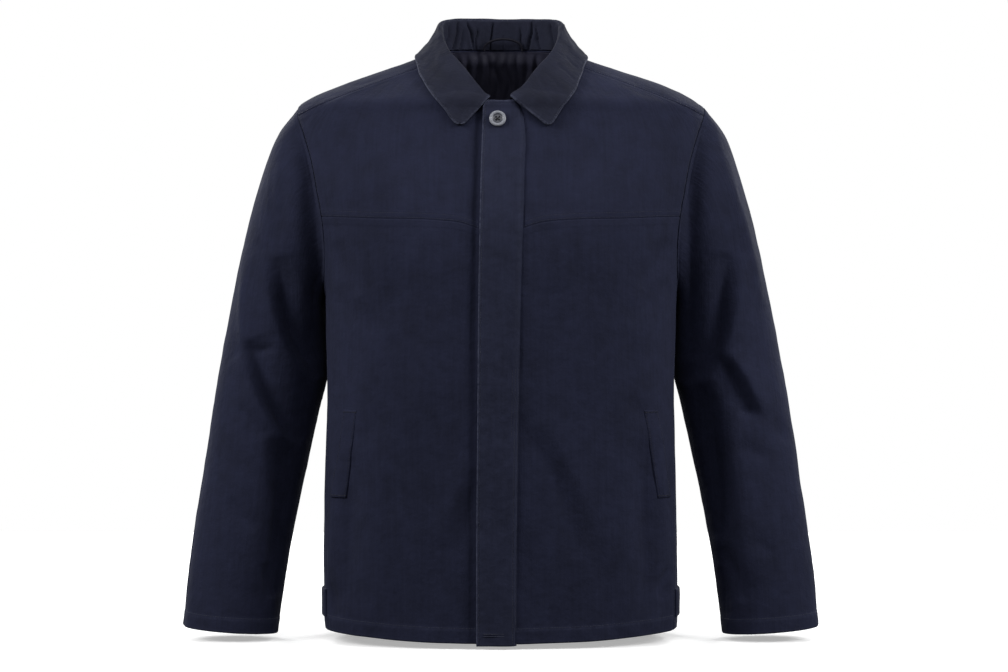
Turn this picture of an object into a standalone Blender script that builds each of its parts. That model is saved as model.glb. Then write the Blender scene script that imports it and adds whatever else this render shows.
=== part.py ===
"""Men's cotton zip-up jacket, filled out as worn and hollow, with nobody in it.

Metres, +Z up. The viewer stands at -Y and +X is the wearer's left. The origin is the
middle of the neck base, level with the tops of the shoulders that hold the jacket up.
Every panel is a wall of cloth between seams drawn on one shell, the form of the cut.
"""
import math
from collections import namedtuple

import bmesh
import bpy
import numpy as np

# ---------------------------------------------------------------- driving sizes
CLOTH = 0.0020            # shell cloth with its backing
COLLAR_CLOTH = 0.0024     # two layers and interlining
LINING_CLOTH = 0.0010
SEAM_GAP = 0.0003         # between neighbouring pieces
LAID_GAP = 0.0007         # under a piece that lies on a panel

FRONT_EDGE = 0.0045       # half the channel that the zip chain fills
SIDES = {"left": 1, "right": -1}

# The shell: level sections from hem to neck. Depths are measured from the middle line,
# where the section is widest.
Ring = namedtuple("Ring", "height half_width front back middle squareness")
SHELL = (
    Ring(-0.720, 0.2170, 0.110, 0.128, -0.014, 2.40),
    Ring(-0.705, 0.2185, 0.111, 0.129, -0.014, 2.40),
    Ring(-0.650, 0.2195, 0.114, 0.132, -0.016, 2.40),
    Ring(-0.570, 0.2180, 0.119, 0.137, -0.019, 2.35),
    Ring(-0.480, 0.2165, 0.126, 0.142, -0.020, 2.30),
    Ring(-0.400, 0.2150, 0.132, 0.148, -0.019, 2.30),
    Ring(-0.345, 0.2165, 0.138, 0.150, -0.015, 2.30),
    Ring(-0.300, 0.2185, 0.145, 0.147, -0.008, 2.35),
    Ring(-0.250, 0.2255, 0.149, 0.144, -0.003, 2.40),
    Ring(-0.205, 0.2340, 0.146, 0.139, 0.000, 2.40),
    Ring(-0.170, 0.2425, 0.139, 0.132, 0.003, 2.40),
    Ring(-0.132, 0.2510, 0.1295, 0.121, 0.007, 2.30),
    Ring(-0.095, 0.2575, 0.1185, 0.109, 0.010, 2.20),
    Ring(-0.075, 0.2585, 0.1125, 0.102, 0.010, 2.10),
    Ring(-0.061, 0.2530, 0.109, 0.097, 0.010, 2.05),
    Ring(-0.050, 0.2385, 0.096, 0.093, 0.010, 2.00),
    Ring(-0.034, 0.2010, 0.076, 0.087, 0.010, 2.00),
    Ring(-0.015, 0.1475, 0.053, 0.079, 0.010, 2.00),
    Ring(0.000, 0.1050, 0.037, 0.072, 0.010, 2.00),
    Ring(0.008, 0.0860, 0.028, 0.067, 0.010, 2.00),
    Ring(0.018, 0.0660, 0.018, 0.060, 0.010, 2.00),
    Ring(0.026, 0.0520, 0.012, 0.055, 0.010, 2.00),
)

# Seams on the shell
HEM = ((0, -0.7172), (12, -0.7172), (25, -0.7166), (50, -0.7148), (64, -0.7118), (78, -0.7090),
       (105, -0.7085), (180, -0.7085))
SIDE_SEAM = ((-0.710, -0.052), (-0.600, -0.056), (-0.500, -0.055), (-0.420, -0.048),
             (-0.350, -0.026), (-0.3005, 0.008))
YOKE_SEAM = ((0.000, -0.2215), (0.025, -0.2190), (0.050, -0.2120), (0.074, -0.2095),
             (0.150, -0.2065), (0.225, -0.2020))
NECKLINE = ((0, -0.0625), (15, -0.0580), (30, -0.0480), (45, -0.0310), (60, -0.0155),
            (67.6, -0.0080), (80, 0.0040), (90, 0.0085), (105, 0.0118), (120, 0.0145),
            (150, 0.0172), (180, 0.0180))
CORE_TOP = -0.16                      # top of the core that the shell is star-shaped from
NECK_POINT = 67.6                     # angle where the shoulder seam meets the neckline
COLLAR_END = 6.0                      # angle where the collar stops at the front

# Armhole: an egg in side view, turned from its top (0) by the front (90) to the armpit (180)
ARMHOLE_TOP = -0.0613
ARMHOLE_BOTTOM = -0.3005
ARMHOLE_MIDDLE = 0.008
ARMHOLE_FRONT = 0.072
ARMHOLE_BACK = 0.086
ARMHOLE_LOW_BULGE = 0.25
SHOULDER_TURN = 27.0
YOKE_TURN = 100.0
SIDE_TURN = 180.0

# How many strips of cloth each seam is divided into
NECK_FRONT_STEPS = (16.0, 28.0, 41.0, 54.5, NECK_POINT)
SHOULDER_MARKS = (0.0, 0.20, 0.39, 0.57, 0.74, 0.89, 1.0)
NECK_BACK_STEPS = 10
SIDE_STEPS = 12
ARM_LOW_STEPS = 5
ARM_YOKE_STEPS = 5
ARM_BACK_STEPS = 14
FRONT_COLUMNS = 2 + len(NECK_FRONT_STEPS) - 1 + len(SHOULDER_MARKS) - 1
TOP_REACH = 5                         # how soon a panel's rows give up the bend of its top seam

# Sleeve sections, shoulder to cuff: the outer and inner lines in front view, then the
# middle and the two depths in side view.
Section = namedtuple("Section", "outer_x outer_z inner_x inner_z middle front back")
SLEEVE = (
    Section(0.2530, -0.0613, 0.2185, -0.3005, 0.008, 0.073, 0.087),
    Section(0.2805, -0.0975, 0.2192, -0.3180, 0.013, 0.080, 0.086),
    Section(0.3025, -0.1560, 0.2180, -0.3400, 0.020, 0.078, 0.082),
    Section(0.3222, -0.2270, 0.2170, -0.3660, 0.027, 0.074, 0.078),
    Section(0.3402, -0.3100, 0.2180, -0.3930, 0.026, 0.071, 0.073),
    Section(0.3543, -0.3900, 0.2300, -0.4450, 0.016, 0.066, 0.066),
    Section(0.3667, -0.4790, 0.2425, -0.5080, 0.004, 0.060, 0.059),
    Section(0.3792, -0.5680, 0.2562, -0.5800, -0.006, 0.055, 0.053),
    Section(0.3885, -0.6430, 0.2670, -0.6450, -0.012, 0.050, 0.048),
    Section(0.3945, -0.7070, 0.2768, -0.7160, -0.016, 0.046, 0.044),
)
SLEEVE_RINGS = 26
RING_BUNCHING = 1.08       # rings lie a little closer at the shoulder
HEAD_SHARE = 0.22          # share of the sleeve's length that is drawn to the real armhole
HEAD_PLACE = 0.012         # where its direction off the armhole is taken

# Creases as soft troughs (depth above 0) and ridges (below 0), in front view.
Crease = namedtuple("Crease", "face x0 z0 x1 z1 width depth")
BODY_CREASES = (
    Crease("front", 0.026, -0.462, 0.052, -0.500, 0.013, 0.0040),
    Crease("front", 0.052, -0.500, 0.080, -0.572, 0.018, 0.0050),
    Crease("front", 0.088, -0.470, 0.112, -0.560, 0.022, -0.0030),
    Crease("front", -0.040, -0.512, -0.068, -0.580, 0.014, -0.0035),
    Crease("front", -0.034, -0.540, -0.044, -0.600, 0.014, 0.0030),
    Crease("front", 0.180, -0.500, 0.176, -0.660, 0.018, 0.0035),
    Crease("front", -0.186, -0.520, -0.180, -0.660, 0.016, 0.0030),
    Crease("back", -0.120, -0.230, -0.090, -0.420, 0.024, 0.0045),
    Crease("back", 0.128, -0.225, 0.098, -0.440, 0.024, 0.0050),
    Crease("back", 0.010, -0.430, -0.014, -0.640, 0.030, 0.0040),
    Crease("back", 0.105, -0.500, 0.125, -0.670, 0.024, -0.0040),
    Crease("back", -0.100, -0.520, -0.122, -0.680, 0.022, -0.0035),
)
SLEEVE_CREASES = (
    Crease("front", -0.270, -0.288, -0.262, -0.336, 0.013, 0.0045),
    Crease("front", -0.262, -0.336, -0.240, -0.384, 0.014, 0.0060),
    Crease("front", -0.315, -0.368, -0.303, -0.395, 0.015, 0.0065),
    Crease("front", -0.303, -0.395, -0.266, -0.468, 0.015, 0.0075),
    Crease("front", -0.327, -0.300, -0.322, -0.380, 0.016, -0.0040),
    Crease("front", -0.312, -0.400, -0.308, -0.560, 0.018, -0.0035),
    Crease("front", -0.296, -0.640, -0.288, -0.680, 0.014, 0.0030),
    Crease("front", 0.280, -0.258, 0.277, -0.305, 0.013, 0.0050),
    Crease("front", 0.277, -0.305, 0.250, -0.384, 0.014, 0.0070),
    Crease("front", 0.240, -0.418, 0.311, -0.441, 0.015, 0.0070),
    Crease("front", 0.320, -0.330, 0.306, -0.410, 0.018, -0.0040),
    Crease("front", 0.306, -0.470, 0.308, -0.560, 0.018, -0.0030),
    Crease("front", 0.284, -0.560, 0.290, -0.640, 0.014, 0.0030),
    Crease("back", -0.250, -0.330, -0.330, -0.375, 0.018, 0.0050),
    Crease("back", -0.262, -0.410, -0.340, -0.430, 0.016, 0.0060),
    Crease("back", -0.300, -0.480, -0.310, -0.620, 0.018, -0.0035),
    Crease("back", 0.248, -0.340, 0.326, -0.392, 0.018, 0.0055),
    Crease("back", 0.262, -0.425, 0.336, -0.446, 0.016, 0.0055),
    Crease("back", 0.300, -0.500, 0.312, -0.640, 0.018, -0.0030),
)

# Collar: fold line and leaf edge for stations of the neckline, front to back on each side. The
# leaf edge is a place on the shell, given by its angle and height.
Station = namedtuple("Station", "angle fold_x fold_y fold_z leaf_angle leaf_height")
COLLAR_BACK = (
    Station(95.0, 0.0745, 0.0380, 0.0505, 93.0, 0.0022),
    Station(115.0, 0.0640, 0.0530, 0.0555, 113.0, 0.0010),
    Station(140.0, 0.0430, 0.0640, 0.0575, 139.0, 0.0000),
    Station(180.0, 0.0000, 0.0690, 0.0580, 180.0, 0.0010),
)
COLLAR_LEFT = (
    Station(6.0, 0.0120, -0.0964, -0.0570, 26.5, -0.0970),
    Station(16.0, 0.0258, -0.0870, -0.0450, 30.7, -0.0855),
    Station(28.0, 0.0415, -0.0630, -0.0222, 36.8, -0.0660),
    Station(42.0, 0.0590, -0.0350, -0.0001, 46.1, -0.0494),
    Station(60.0, 0.0690, -0.0060, 0.0200, 57.8, -0.0308),
    Station(80.0, 0.0735, 0.0200, 0.0400, 76.3, -0.0085),
) + COLLAR_BACK
COLLAR_RIGHT = (
    Station(6.0, 0.0160, -0.0950, -0.0565, 22.6, -0.0985),
    Station(16.0, 0.0250, -0.0870, -0.0452, 27.9, -0.0862),
    Station(28.0, 0.0415, -0.0630, -0.0222, 34.8, -0.0665),
    Station(42.0, 0.0590, -0.0350, -0.0001, 45.3, -0.0488),
    Station(60.0, 0.0690, -0.0060, 0.0200, 57.8, -0.0309),
    Station(80.0, 0.0735, 0.0200, 0.0400, 77.2, -0.0072),
) + COLLAR_BACK
FOLD_RADIUS = 0.0022       # inside the collar's fold
ROLL_PARTS = np.array((0.33, 0.67))     # how far round the fold its two middle rows lie
# How far the fall bows out between fold and leaf edge: full at the front, hollow at the back
FALL_BOW = ((6, 0.0013), (40, 0.0008), (70, -0.0024), (180, -0.0024))
LEAF_LIFT = 0.0028         # leaf edge clear of the shell
LEAF_OVER_FLY = 0.0020     # more where the leaf lies over the fly's corner
FLY_CORNER = (0.034, 0.050)
# Gathers of the collar's inner side at the back neck: place across and depth
COLLAR_GATHERS = ((-0.067, 0.0011), (-0.057, 0.0014), (-0.049, 0.0012), (-0.038, 0.0015),
                  (-0.031, 0.0011), (-0.012, 0.0014), (0.004, 0.0010), (0.024, 0.0015),
                  (0.038, 0.0012), (0.046, 0.0014), (0.064, 0.0012))
COLLAR_GATHER_WIDTH = 0.0035
GATHERED_FROM = 70         # angle where the collar's gathers begin, full over the next span
GATHERED_SPAN = 25
STATION_PARTS = (2, 5)     # stations to each strip of the neckline, at the fronts and the back
LINING_GATHERS = ((-0.072, 0.0030), (-0.058, 0.0036), (-0.045, 0.0030), (-0.031, 0.0038),
                  (-0.018, 0.0030), (-0.006, 0.0034), (0.008, 0.0028), (0.021, 0.0036),
                  (0.034, 0.0032), (0.047, 0.0036), (0.059, 0.0030), (0.071, 0.0034))
LINING_GATHER_WIDTH = 0.0045
LINING_BOTTOM = -0.130
LINING_FALL = 0.004        # further from the back at its foot
LINING_TURN_TOP = 62       # how far round it reaches each way from the middle of the back
LINING_TURN_FOOT = 50
LINING_STEPS = 56
LINING_ROWS = 7
LINING_TOP_GAP = 0.0008    # below the neck seam
LINING_CLEARANCE = 0.0046  # from the back, at the tops of the gathers
LINING_SLACK = 0.0036      # room that the gathers take up

# Placket: height, then its free edge and its stitched edge across the front
PLACKET = ((-0.7190, -0.0292, 0.0190), (-0.600, -0.0290, 0.0195), (-0.450, -0.0276, 0.0215),
           (-0.300, -0.0262, 0.0240), (-0.150, -0.0236, 0.0285), (-0.0950, -0.0220, 0.0290),
           (-0.0750, -0.0215, 0.0250), (-0.0640, -0.0212, 0.0190))
PLACKET_LIFT = 0.0018      # over the zip
PLACKET_CORNER = 0.010
PLACKET_ROWS = 30
PLACKET_END_ROWS = (0.007, 0.003, 0)
PLACKET_FALL = 0.012       # over this width the fly comes down to its stitched edge

BUTTON_X = -0.0036
BUTTON_Z = -0.0877
BUTTON_RADIUS = 0.0101
BUTTON_THICKNESS = 0.0034
BUTTON_STEPS = 24
BUTTON_GAP = 0.0008        # the thread's shank under it

# sRGB tones of the pieces
NAVY = (36, 39, 56)
NAVY_COLLAR = (41, 43, 59)
NAVY_DARK = (22, 22, 29)
STEEL_GREY = (96, 98, 108)
HORN_GREY = (104, 108, 120)


# ---------------------------------------------------------------- curves and shell
def smooth(places, values, where):
    """Cubic curve through (place, value) pairs with slopes taken from both neighbours."""
    places = np.asarray(places, float)
    values = np.asarray(values, float)
    slopes = np.gradient(values, places)
    where = np.clip(np.asarray(where, float), places[0], places[-1])
    left = np.clip(np.searchsorted(places, where) - 1, 0, len(places) - 2)
    span = places[left + 1] - places[left]
    part = (where - places[left]) / span
    rise = (2 * part + 1) * (1 - part) ** 2 * values[left]
    rise += part ** 2 * (3 - 2 * part) * values[left + 1]
    rise += span * part * (1 - part) ** 2 * slopes[left]
    return rise - span * part ** 2 * (1 - part) * slopes[left + 1]


def column(table, name, where, key="height"):
    """One named column of a table, smoothly between its rows."""
    return smooth([getattr(row, key) for row in table], [getattr(row, name) for row in table],
                  where)


def unit(vectors):
    return vectors / np.linalg.norm(vectors, axis=-1, keepdims=True)


def shell_reach(angle, height):
    """Distance from the middle line to the shell: a superellipse, by true angle from the front."""
    turn = np.radians(angle)
    ahead = np.cos(turn)
    depth = np.where(ahead > 0, column(SHELL, "front", height), column(SHELL, "back", height))
    power = column(SHELL, "squareness", height)
    total = (np.abs(np.sin(turn)) / column(SHELL, "half_width", height)) ** power
    return (total + (np.abs(ahead) / depth) ** power) ** (-1 / power)


def shell_form(angle, height):
    """Point of the shell at an angle from the front and a height."""
    turn = np.radians(angle)
    reach = shell_reach(angle, height)
    across = reach * np.sin(turn)
    along = column(SHELL, "middle", height) - reach * np.cos(turn)
    return np.stack([across, along, np.broadcast_to(height, across.shape)], axis=-1)


def onto_shell(points):
    """(angle, height) where the ray from the jacket's core through each point meets the shell."""
    core = points * np.array([0.0, 0.0, 1.0])
    core[..., 2] = np.minimum(core[..., 2], CORE_TOP)
    low = np.full(points.shape[:-1], 0.3)
    high = np.full(points.shape[:-1], 2.5)
    for _ in range(40):
        share = (low + high) / 2
        place = core + share[..., None] * (points - core)
        along = place[..., 1] - column(SHELL, "middle", place[..., 2])
        angle = np.degrees(np.arctan2(place[..., 0], -along))
        outside = np.hypot(place[..., 0], along) > shell_reach(angle, place[..., 2])
        low = np.where(outside, low, share)
        high = np.where(outside, share, high)
    return np.stack([angle % 360, place[..., 2]], axis=-1)


def shell_normal(angle, height):
    """Outward normal of the shell from small steps round it and up it."""
    step_angle = 0.02
    step_height = 0.0001
    around = shell_form(angle + step_angle, height) - shell_form(angle - step_angle, height)
    upward = shell_form(angle, height + step_height) - shell_form(angle, height - step_height)
    return unit(np.cross(around, upward))


def creased(points, normals, creases):
    """Move points along their normals by every soft trough and ridge near them."""
    moved = points.copy()
    flat = points[..., [0, 2]]
    for crease in creases:
        start = np.array([crease.x0, crease.z0])
        run = np.array([crease.x1, crease.z1]) - start
        along = np.clip(((flat - start) @ run) / (run @ run), 0, 1)
        distance = np.linalg.norm(flat - start - along[..., None] * run, axis=-1)
        towards = -1 if crease.face == "front" else 1
        facing = np.clip(towards * normals[..., 1] * 1.6, 0, 1)
        depth = crease.depth * facing * np.exp(-(distance / crease.width) ** 2)
        moved -= depth[..., None] * normals
    return moved


def shell(angle, height, lift=0.0):
    """Creased shell and its normals, moved out by lift."""
    angle, height = np.broadcast_arrays(np.asarray(angle, float), np.asarray(height, float))
    normals = shell_normal(angle, height)
    points = creased(shell_form(angle, height), normals, BODY_CREASES)
    return points + np.asarray(lift)[..., None] * normals, normals


def front_angle(across, height):
    """Angle of the front point that lies at this place across, at this height."""
    power = column(SHELL, "squareness", height)
    share = np.clip(np.abs(across) / column(SHELL, "half_width", height), 0, 1)
    ahead = column(SHELL, "front", height) * (1 - share ** power) ** (1 / power)
    return np.degrees(np.arctan2(across, ahead))


def side_angle(along, height):
    """Angle of the side point that lies at this place from front to back."""
    power = column(SHELL, "squareness", height)
    offset = along - column(SHELL, "middle", height)
    depth = np.where(offset < 0, column(SHELL, "front", height), column(SHELL, "back", height))
    share = np.clip(np.abs(offset) / depth, 0, 1)
    across = column(SHELL, "half_width", height) * (1 - share ** power) ** (1 / power)
    return np.degrees(np.arctan2(across, -offset))


def clear_of_shell(points, lift):
    """Lift points that come nearer the shell than this."""
    place = onto_shell(points)
    surface, normals = shell(place[..., 0], place[..., 1])
    height = np.sum((points - surface) * normals, axis=-1)
    return points + np.clip(lift - height, 0, None)[..., None] * normals


def spread(line, marks):
    """Points of a line of (angle, height) at these shares of its real length on the shell."""
    points = shell_form(line[:, 0], line[:, 1])
    steps = np.linalg.norm(np.diff(points, axis=0), axis=1)
    length = np.concatenate([[0], np.cumsum(steps)])
    marks = np.asarray(marks) * length[-1]
    return np.stack([np.interp(marks, length, line[:, 0]), np.interp(marks, length, line[:, 1])],
                    axis=-1)


def pairs(angle, height):
    return np.stack(np.broadcast_arrays(angle, height), axis=-1).astype(float)


# ---------------------------------------------------------------- seams (wearer's left)
def neck_height(angle):
    folded = np.where(angle > 180, 360 - angle, angle)
    return smooth(*zip(*NECKLINE), folded)


def hem_line(start, end, count):
    angle = np.linspace(start, end, 200)
    folded = np.where(angle > 180, 360 - angle, angle)
    return spread(pairs(angle, smooth(*zip(*HEM), folded)), np.linspace(0, 1, count + 1))


def armhole(turn):
    """(angle, height) on the shell for a turn round the armhole."""
    turn = np.radians(turn)
    middle = (ARMHOLE_TOP + ARMHOLE_BOTTOM) / 2
    height = middle + (ARMHOLE_TOP - ARMHOLE_BOTTOM) / 2 * np.cos(turn)
    depth = np.where(np.sin(turn) > 0, ARMHOLE_FRONT, ARMHOLE_BACK)
    along = ARMHOLE_MIDDLE - depth * np.sin(turn) * (1 - ARMHOLE_LOW_BULGE * np.cos(turn))
    return pairs(side_angle(along, height), height)


ARM_YOKE_TURNS = np.linspace(SHOULDER_TURN, YOKE_TURN, ARM_YOKE_STEPS + 1)
ARM_LOW_TURNS = np.linspace(YOKE_TURN, SIDE_TURN, ARM_LOW_STEPS + 1)
ARM_BACK_TURNS = np.linspace(SIDE_TURN, 360 + SHOULDER_TURN, ARM_BACK_STEPS + 1)
ARM_TURNS = np.concatenate([ARM_YOKE_TURNS[:-1], ARM_LOW_TURNS[:-1], ARM_BACK_TURNS[:-1]])

side_top = armhole(np.array([SIDE_TURN]))[0]
side_heights = np.linspace(-0.7095, side_top[1], 120)
side_middle = side_angle(smooth(*zip(*SIDE_SEAM), side_heights), side_heights)
side_middle += (side_top[0] - side_middle[-1]) * np.linspace(0, 1, 120) ** 6
side_seam = spread(pairs(side_middle, side_heights), np.linspace(0, 1, SIDE_STEPS + 1))

shoulder_end = armhole(np.array([SHOULDER_TURN]))[0]
shoulder_start = np.array([NECK_POINT, neck_height(np.array([NECK_POINT]))[0]])
start_point = shell_form(*shoulder_start)
end_point = shell_form(*shoulder_end)
shoulder_share = np.linspace(0, 1, 100)
shoulder_x = start_point[0] + (end_point[0] - start_point[0]) * shoulder_share
shoulder_z = start_point[2] + (end_point[2] - start_point[2]) * shoulder_share
shoulder_seam = spread(pairs(front_angle(shoulder_x, shoulder_z), shoulder_z), SHOULDER_MARKS)
shoulder_seam[0] = shoulder_start
shoulder_seam[-1] = shoulder_end

edge_top = float(front_angle(FRONT_EDGE, -0.0625))
neck_front_angles = np.array([edge_top, COLLAR_END, *NECK_FRONT_STEPS])
neck_front = pairs(neck_front_angles, neck_height(neck_front_angles))
neck_back_angles = np.linspace(NECK_POINT, 360 - NECK_POINT, NECK_BACK_STEPS + 1)
neck_back = pairs(neck_back_angles, neck_height(neck_back_angles))

yoke_end = armhole(np.array([YOKE_TURN]))[0]
yoke_x = np.linspace(FRONT_EDGE, shell_form(*yoke_end)[0], 150)
yoke_z = smooth(*zip(*YOKE_SEAM), yoke_x)
yoke_z += (yoke_end[1] - yoke_z[-1]) * np.linspace(0, 1, 150) ** 2
yoke_seam = spread(pairs(front_angle(yoke_x, yoke_z), yoke_z), np.linspace(0, 1, FRONT_COLUMNS + 1))
yoke_seam[-1] = yoke_end


# ---------------------------------------------------------------- walls of cloth
def finish(name, mesh, material, sharp=40):
    """Wrap a mesh in an object of the jacket's collection, shaded smooth but for its edges."""
    piece = bpy.data.objects.new(name, mesh)
    parts.objects.link(piece)
    mesh.materials.clear()
    mesh.materials.append(material)
    mesh.shade_smooth()
    mesh.set_sharp_from_angle(angle=math.radians(sharp))
    return piece


def cloth_wall(name, outer, inner, material, tube=False):
    """Closed wall between two grids of points: both faces, and strips along open edges.

    A strip's four-sided faces start so that they part along their shorter diagonal, the same
    one on both pieces that meet at a seam.
    """
    rows, columns = outer.shape[:2]
    index = np.arange(rows * columns).reshape(rows, columns)
    if tube:
        index = np.concatenate([index, index[:, :1]], axis=1)
    below = rows * columns

    def quads(a, b, c, d):
        return np.stack([a, b, c, d], axis=-1).reshape(-1, 4)

    face = quads(index[:-1, :-1], index[:-1, 1:], index[1:, 1:], index[1:, :-1])
    faces = [face, face[:, ::-1] + below]
    edges = [index[0, ::-1], index[-1]]
    if not tube:
        edges += [index[:, 0], index[::-1, -1]]
    points = np.concatenate([outer.reshape(-1, 3), inner.reshape(-1, 3)])
    for edge in edges:
        strip = quads(edge[:-1], edge[1:], edge[1:] + below, edge[:-1] + below)
        corner = points[strip]
        first = np.linalg.norm(corner[:, 2] - corner[:, 0], axis=1)
        second = np.linalg.norm(corner[:, 3] - corner[:, 1], axis=1)
        shorter_first = np.where((first <= second)[:, None], strip, np.roll(strip, -1, axis=1))
        faces.append(shorter_first)
    faces = np.concatenate(faces)
    corner = points[face]
    square = np.cross(corner[:, 2] - corner[:, 0], corner[:, 3] - corner[:, 1])
    if np.sum(square * (outer - inner).reshape(-1, 3)[face[:, 0]]) < 0:
        faces = faces[:, ::-1]
    mesh = bpy.data.meshes.new(name)
    mesh.from_pydata(points.tolist(), [], faces.tolist())
    mesh.update()
    return finish(name, mesh, material)


def inset(points, normals, gap):
    """Draw a panel's four borders in by gap, square to each border and to the normals."""
    moved = points.copy()
    inner_rows = {0: 1, -1: -2}
    for border, inside in inner_rows.items():
        for axis in (0, 1):
            grid = np.swapaxes(points, 0, axis)
            normal = np.swapaxes(normals, 0, axis)
            line = grid[border]
            side = np.cross(normal[border], np.gradient(line, axis=0))
            inward = np.sum(side * (grid[inside] - line), axis=-1, keepdims=True)
            shift = unit(side) * np.sign(inward) * gap
            np.swapaxes(moved, 0, axis)[border] += shift
    return moved


def patch(bottom, top, left, right):
    """Grid of (angle, height) filling four seams.

    Each row is a straight run between the left and right seams, plus the bottom seam's own
    bend, which gives way to the top seam's towards the top, all laid onto the shell.
    """
    low, high, near, far = (shell_form(*line.T) for line in (bottom, top, left, right))
    across = np.linspace(0, 1, len(bottom))[None, :, None]
    up = np.linspace(0, 1, len(left))[:, None, None]
    low_bend = low - low[0] - across[0] * (low[-1] - low[0])
    high_bend = high - high[0] - across[0] * (high[-1] - high[0])
    points = (1 - across) * near[:, None] + across * far[:, None]
    points = points + (1 - up ** TOP_REACH) * low_bend[None] + up ** TOP_REACH * high_bend[None]
    grid = onto_shell(points)
    grid[0], grid[-1], grid[:, 0], grid[:, -1] = bottom, top, left, right
    return grid


def mirrored(grid, side):
    """The same place on the other side of the jacket."""
    return grid * np.array([side, 1.0])


def cloth_material(name, tone, roughness=0.9, metallic=0.0):
    """Principled material from an sRGB tone."""
    share = np.array(tone) / 255
    linear = np.where(share < 0.04045, share / 12.92, ((share + 0.055) / 1.055) ** 2.4)
    material = bpy.data.materials.new(name)
    material.use_nodes = True
    shader = material.node_tree.nodes["Principled BSDF"]
    shader.inputs["Base Color"].default_value = (*linear.tolist(), 1)
    shader.inputs["Roughness"].default_value = roughness
    shader.inputs["Metallic"].default_value = metallic
    return material


for old in list(bpy.data.objects):
    bpy.data.objects.remove(old, do_unlink=True)
parts = bpy.data.collections.new("zip_up_jacket")
cutters = bpy.data.collections.new("cutters")
bpy.context.scene.collection.children.link(parts)
bpy.context.scene.collection.children.link(cutters)


# ---------------------------------------------------------------- sleeve form
def sleeve_form(share, turn, side):
    """Point of a sleeve: a level oval between its outer and inner lines, set into the armhole."""
    place = np.asarray(share, float) * (len(SLEEVE) - 1)
    rows = np.arange(len(SLEEVE))
    value = {name: smooth(rows, [getattr(row, name) for row in SLEEVE], place)
             for name in Section._fields}
    angle = np.radians(turn)
    lean = np.cos(angle)
    outer_part = (1 + lean) / 2
    across = value["outer_x"] * outer_part + value["inner_x"] * (1 - outer_part)
    height = value["outer_z"] * outer_part + value["inner_z"] * (1 - outer_part)
    depth = np.where(np.sin(angle) > 0, value["front"], value["back"])
    along = value["middle"] - depth * np.sin(angle)
    return np.stack(np.broadcast_arrays(across * side, along, height), axis=-1)


def sleeve_surface(share, turn, side):
    """Sleeve form whose upper end is drawn to the real armhole."""
    form = sleeve_form(share, turn, side)
    seam_place = mirrored(armhole(turn), side)
    seam = shell_form(seam_place[..., 0], seam_place[..., 1])
    pull = np.clip(1 - np.asarray(share, float) / HEAD_SHARE, 0, 1) ** 2
    return form + pull[..., None] * (seam - sleeve_form(np.zeros_like(share), turn, side))


def sleeve_normal(share, turn, side):
    step = 0.004
    low = np.clip(share - step, 0, 1)
    high = np.clip(share + step, 0, 1)
    along = sleeve_surface(high, turn, side) - sleeve_surface(low, turn, side)
    around = sleeve_surface(share, turn + 0.5, side) - sleeve_surface(share, turn - 0.5, side)
    return unit(np.cross(along, around)) * -side


def ridge_share(turn):
    """1 where the sleeve rolls over the shoulder, 0 in the valleys at front, back and armpit."""
    return np.clip((np.cos(np.radians(turn)) - 0.1) / 0.5, 0, 1)


def armhole_normals(turn, side):
    """Normals of the shell and of the sleeve along the armhole, mitred over the shoulder."""
    place = mirrored(armhole(turn), side)
    body = shell_normal(place[:, 0], place[:, 1])
    sleeve = sleeve_normal(np.full(len(turn), HEAD_PLACE), turn, side)
    share = ridge_share(turn)[:, None]
    return unit(body + share * sleeve), unit(sleeve + share * body)


# ---------------------------------------------------------------- torso panels
def torso_panel(name, grid, arm_borders, material):
    """Wall of shell cloth over a grid, with the armhole's mitred normals on its border."""
    points, normals = shell(grid[..., 0], grid[..., 1])
    for rows, border_column, turns, side in arm_borders:
        normals[rows, border_column] = armhole_normals(turns, side)[0]
    points = inset(points, normals, SEAM_GAP / 2)
    return cloth_wall(name, points, points - CLOTH * normals, material)


shell_cloth = cloth_material("navy_cotton", NAVY)

for label, side in SIDES.items():
    rows_up = np.concatenate([side_seam, armhole(ARM_LOW_TURNS[::-1])[1:]])
    hem = hem_line(float(front_angle(FRONT_EDGE, -0.7165)), side_seam[0, 0], FRONT_COLUMNS)
    heights = np.interp(rows_up[:, 1], rows_up[[0, -1], 1], [hem[0, 1], yoke_seam[0, 1]])
    edge = pairs(front_angle(FRONT_EDGE, heights), heights)
    grid = patch(hem, yoke_seam, edge, rows_up)
    arm = (slice(SIDE_STEPS, None), -1, ARM_LOW_TURNS[::-1], side)
    torso_panel("front_panel_" + label, mirrored(grid, side), [arm], shell_cloth)

    arm_up = armhole(ARM_YOKE_TURNS[::-1])
    heights = np.interp(arm_up[:, 1], arm_up[[0, -1], 1], [yoke_seam[0, 1], neck_front[0, 1]])
    edge = pairs(front_angle(FRONT_EDGE, heights), heights)
    top = np.concatenate([neck_front, shoulder_seam[1:]])
    grid = patch(yoke_seam, top, edge, arm_up)
    arm = (slice(None), -1, ARM_YOKE_TURNS[::-1], side)
    torso_panel("front_yoke_" + label, mirrored(grid, side), [arm], shell_cloth)

# the back runs from the wearer's left side seam round to the right one
left_edge = np.concatenate([side_seam, armhole(ARM_BACK_TURNS)[1:]])
right_edge = pairs(360 - left_edge[:, 0], left_edge[:, 1])
shoulder_down = shoulder_seam[::-1]
shoulder_far = pairs(360 - shoulder_seam[:, 0], shoulder_seam[:, 1])
back_top = np.concatenate([shoulder_down, neck_back[1:], shoulder_far[1:]])
back_hem = hem_line(side_seam[0, 0], 360 - side_seam[0, 0], len(back_top) - 1)
back_grid = patch(back_hem, back_top, left_edge, right_edge)
arm_rows = slice(SIDE_STEPS, None)
torso_panel("back", back_grid, [(arm_rows, 0, ARM_BACK_TURNS, 1), (arm_rows, -1, ARM_BACK_TURNS, -1)],
            shell_cloth)

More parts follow.
